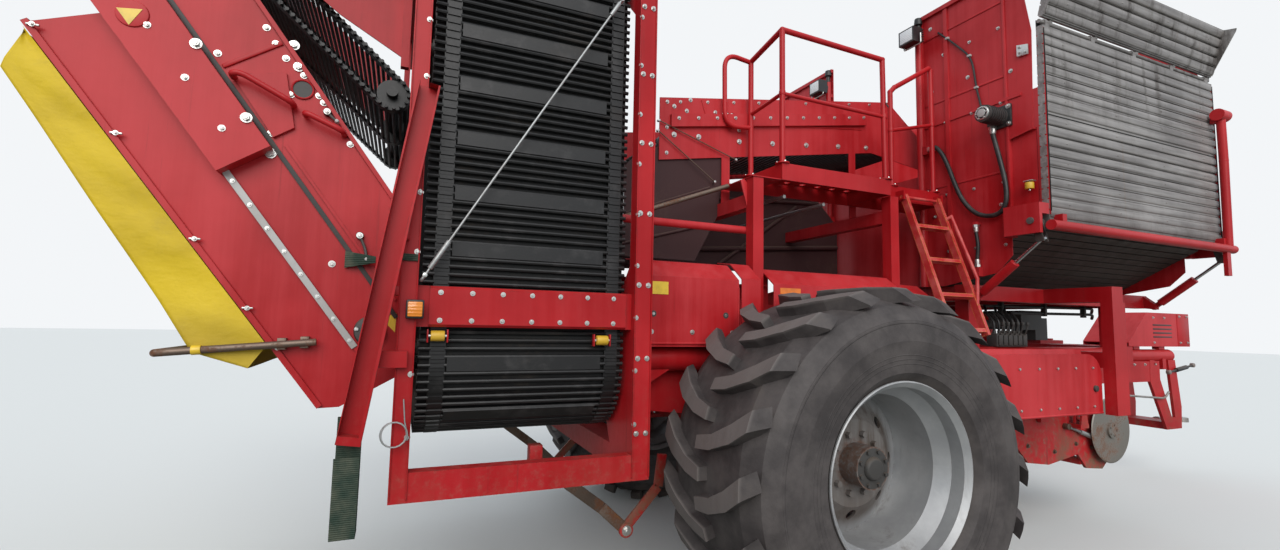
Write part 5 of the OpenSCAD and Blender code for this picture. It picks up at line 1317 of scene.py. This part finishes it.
def stick_films():
    """Blank coloured films on the panels."""
    yellow, orange, red = (bmesh.new() for _ in range(3))
    for side, out, on in both_sides():
        outside = side * (CHANNEL_Y + COVER_PROUD)
        add_round(red, channel(1168, 284, outside), channel(1168, 284, outside + side * 5), 0.047, 40, 0.045, 0.001)
        add_film(yellow, [channel(s, v, outside + side * 5.4) for s, v in ((1200, 255), (1168, 318), (1136, 255))], out)
        add_film(yellow, profile(on, CHANNEL_Y, (-2048, 1438), (-1998, 1385), (-1995, 1462)), out)
        for films, y, x0, z0, x1, z1 in ((yellow, SHIELD_FACE + 3, 1060, 1130, 1250, 1035),
                                         (yellow, COVER_FACE + 1, -860, 1652, -740, 1588),
                                         (orange, COVER_FACE + 1, -50, 1652, 90, 1618),
                                         (orange, DRAWBAR_FACE + 7.5, 4300, 1110, 4420, 1040)):
            add_film(films, profile(on, y, (x0, z0), (x1, z0), (x1, z1), (x0, z1)), out)
    finish_piece("blank_yellow", yellow, YELLOW)
    finish_piece("blank_red", red, RED)
    finish_piece("blank_orange", orange, ORANGE)


def dress_covers():
    """Bolts, capped holes and folds on the side covers and the long shields."""
    zinc, red, dark = (bmesh.new() for _ in range(3))
    for _, out, on in both_sides():
        for x in (-830, -600, -360, 0, 260, 520, 780, 1000, 1100):
            add_bolt(zinc, on(x, COVER_FACE, 1400), out, 0.015, 0.008)
        for x in (-820, -400, 60, 440, 820):
            add_round(dark, on(x, COVER_FACE, 1490), on(x, COVER_FACE + 2, 1490), 0.016, 24)
            add_round(zinc, on(x, COVER_FACE + 0.5, 1490), on(x, COVER_FACE + 4, 1490), 0.009, 18, 0.007)
        for x0, x1 in ((-875, -318), (-92, 872), (958, 1140)):
            add_pipe(red, profile(on, COVER_FACE + 1, (x0 + 3, 1342), (x1 - 3, 1342)), 0.007, 12)
            for x in (x0 + 3, x1 - 3):
                add_pipe(red, profile(on, COVER_FACE + 1, (x, 1342), (x, 1640)), 0.005, 10)
        # Long shield: rolled upper edge, bolts and the latch
        add_pipe(red, [on(1000, SHIELD_FACE, 925), on(2236, SHIELD_FACE, 925)], 0.009, 14)
        for k in range(7):
            for z in (1212, 968):
                add_bolt(zinc, on(1060 + k * 180, SHIELD_FACE + 3, z), out, 0.015, 0.008)
        add_round(dark, on(2160, SHIELD_FACE, 1080), on(2160, SHIELD_FACE + 20, 1080), 0.020, 24, bevel=0.003)
    finish_piece("cover_bolts", zinc, ZINC)
    finish_piece("cover_folds", red, RED_FADED, 40)
    finish_piece("cover_latches", dark, IRON, 35)


def dress_front():
    """Front hood's side caps and slots, the drawbar's turnbuckle and rod, and the intake's links."""
    cap, dark, steel, zinc = (bmesh.new() for _ in range(4))
    for _, out, on in both_sides():
        y = DRAWBAR_FACE
        add_plate(cap, profile(on, y, (5440, 1649), (5664, 1649), (5664, 1320), (5440, 1316)), out * 0.003, 0.001)
        for x, z in ((5480, 1620), (5620, 1620), (5480, 1350), (5620, 1350), (5000, 1600), (5200, 1600), (5000, 1350)):
            add_bolt(zinc, on(x, y + 3 if x > 5430 else y, z), out, 0.015, 0.008)
        for z in (1400, 1440, 1480, 1520):
            add_box(dark, on(4990, y, z), on(5330, y + 2, z + 14), 0.0005)
    # Turnbuckle between the hitch's leg and the hood's foot
    a, b = at(5183, -226, 1055), at(5640, -226, 1120)
    ahead = (b - a).normalized()
    add_round(dark, a, b, 0.010, 14)
    add_round(dark, a + ahead * 0.13, b - ahead * 0.13, 0.021, 20, bevel=0.004)
    for end in (a, b):
        add_round(steel, end - Vector((0, 0.012, 0)), end + Vector((0, 0.020, 0)), 0.022, 24, bevel=0.002)
    # Bent rod beside the lower box beam
    add_pipe(steel, profile(at, -232, (4180, 965), (4180, 900), (4260, 860), (5060, 800), (5140, 860)), 0.010, 12, 0.05)
    for k in range(6):
        for _, out, on in both_sides():
            add_bolt(zinc, on(4080 + k * 180, DRAWBAR_FACE + 5, 1135), out, 0.016, 0.009)
    finish_piece("hood_cap", cap, RED, body="drawbar")
    finish_piece("turnbuckle", dark, BLACK, 35, body="drawbar")
    finish_piece("drawbar_rods", steel, STEEL, 35, body="drawbar")
    finish_piece("drawbar_bolts", zinc, ZINC, body="drawbar")
    # Link rods with their eyes, and bolts, on the intake's side plates
    link, eyes = bmesh.new(), bmesh.new()
    for _, out, on in both_sides():
        a, b = on(2627, 722, 738), on(3070, 722, 600)
        ahead = (b - a).normalized()
        add_round(link, a, b, 0.009, 14)
        add_round(link, a + ahead * 0.16, b - ahead * 0.10, 0.017, 20, bevel=0.003)
        for end in (a, b):
            add_round(eyes, end - out * 0.022, end + out * 0.016, 0.022, 24, bevel=0.002)
        for x, z in ((2200, 620), (2350, 830), (2500, 560), (2760, 600), (2700, 860), (2950, 560), (3080, 480)):
            add_bolt(eyes, on(x, 700, z), out, 0.020, 0.011)
    finish_piece("intake_links", link, GALVANISED, 35, body="intake")
    finish_piece("intake_bolts", eyes, RUSTY, body="intake")


def fit_lamps():
    """Lenses of the work lamps on the poles."""
    for (_, _, on), word in zip(both_sides(), SIDE_WORDS):
        bm = bmesh.new()
        add_box(bm, on(1322, 442, 3530), on(1327, 548, 3620), 0.0015)
        finish_piece("lamp_lens_" + word, bm, LENS)


def lay_floor():
    """Pale floor for the camera, darker for the light that it throws back up under the machine."""
    mesh = bpy.data.meshes.new("floor")
    bm = bmesh.new()
    bmesh.ops.create_grid(bm, x_segments=1, y_segments=1, size=60)
    bm.to_mesh(mesh)
    bm.free()
    floor = bpy.data.objects.new("floor", mesh)
    f = Finish("floor_pale")
    seen = f.node("ShaderNodeLightPath", output=0)
    mesh.materials.append(f.shine(Base_Color=f.mix((0.20, 0.21, 0.19), (0.66, 0.67, 0.66), seen), Roughness=0.9))
    bpy.context.scene.collection.objects.link(floor)


def light_scene():
    scene = bpy.context.scene
    scene.view_settings.view_transform = "Standard"
    world = bpy.data.worlds.new("sky")
    world.use_nodes = True
    tree = world.node_tree
    background = tree.nodes["Background"]
    background.inputs["Color"].default_value = (0.80, 0.86, 0.92, 1)
    background.inputs["Strength"].default_value = 0.95
    pale = tree.nodes.new("ShaderNodeBackground")
    pale.inputs["Color"].default_value = (0.90, 0.92, 0.94, 1)
    pale.inputs["Strength"].default_value = 1.0
    path = tree.nodes.new("ShaderNodeLightPath")
    either = tree.nodes.new("ShaderNodeMath")
    either.operation = "MAXIMUM"
    tree.links.new(path.outputs["Is Camera Ray"], either.inputs[0])
    tree.links.new(path.outputs["Is Transmission Ray"], either.inputs[1])
    choose = tree.nodes.new("ShaderNodeMixShader")
    tree.links.new(either.outputs[0], choose.inputs[0])
    tree.links.new(background.outputs[0], choose.inputs[1])
    tree.links.new(pale.outputs[0], choose.inputs[2])
    tree.links.new(choose.outputs[0], tree.nodes["World Output"].inputs["Surface"])
    scene.world = world
    lamp = bpy.data.lights.new("high_window", "SUN")
    lamp.energy = 2.1
    lamp.angle = math.radians(50)
    lamp.color = (1.0, 0.97, 0.93)
    sun = bpy.data.objects.new("high_window", lamp)
    sun.rotation_euler = (math.radians(58), math.radians(-14), math.radians(-12))
    scene.collection.objects.link(sun)


add_camera()
paint_nodes()
declare_hose("motor_hose_line", MOTOR_HOSE, 0.030, "motor_hose")
declare_hose("drop_hose_line", DROP_HOSE, 0.024, "drop_hose")
hang_tarp()
fasten_panels()
dress_ring_web()
dress_straight_webs()
dress_channel()
dress_tarp()
dress_elevator()
dress_underside()
dress_table()
dress_railings()
dress_gate()
dress_wall()
run_feed_pipes()
dress_wheels()
dress_covers()
dress_front()
stick_films()
fit_lamps()
lay_floor()
light_scene()
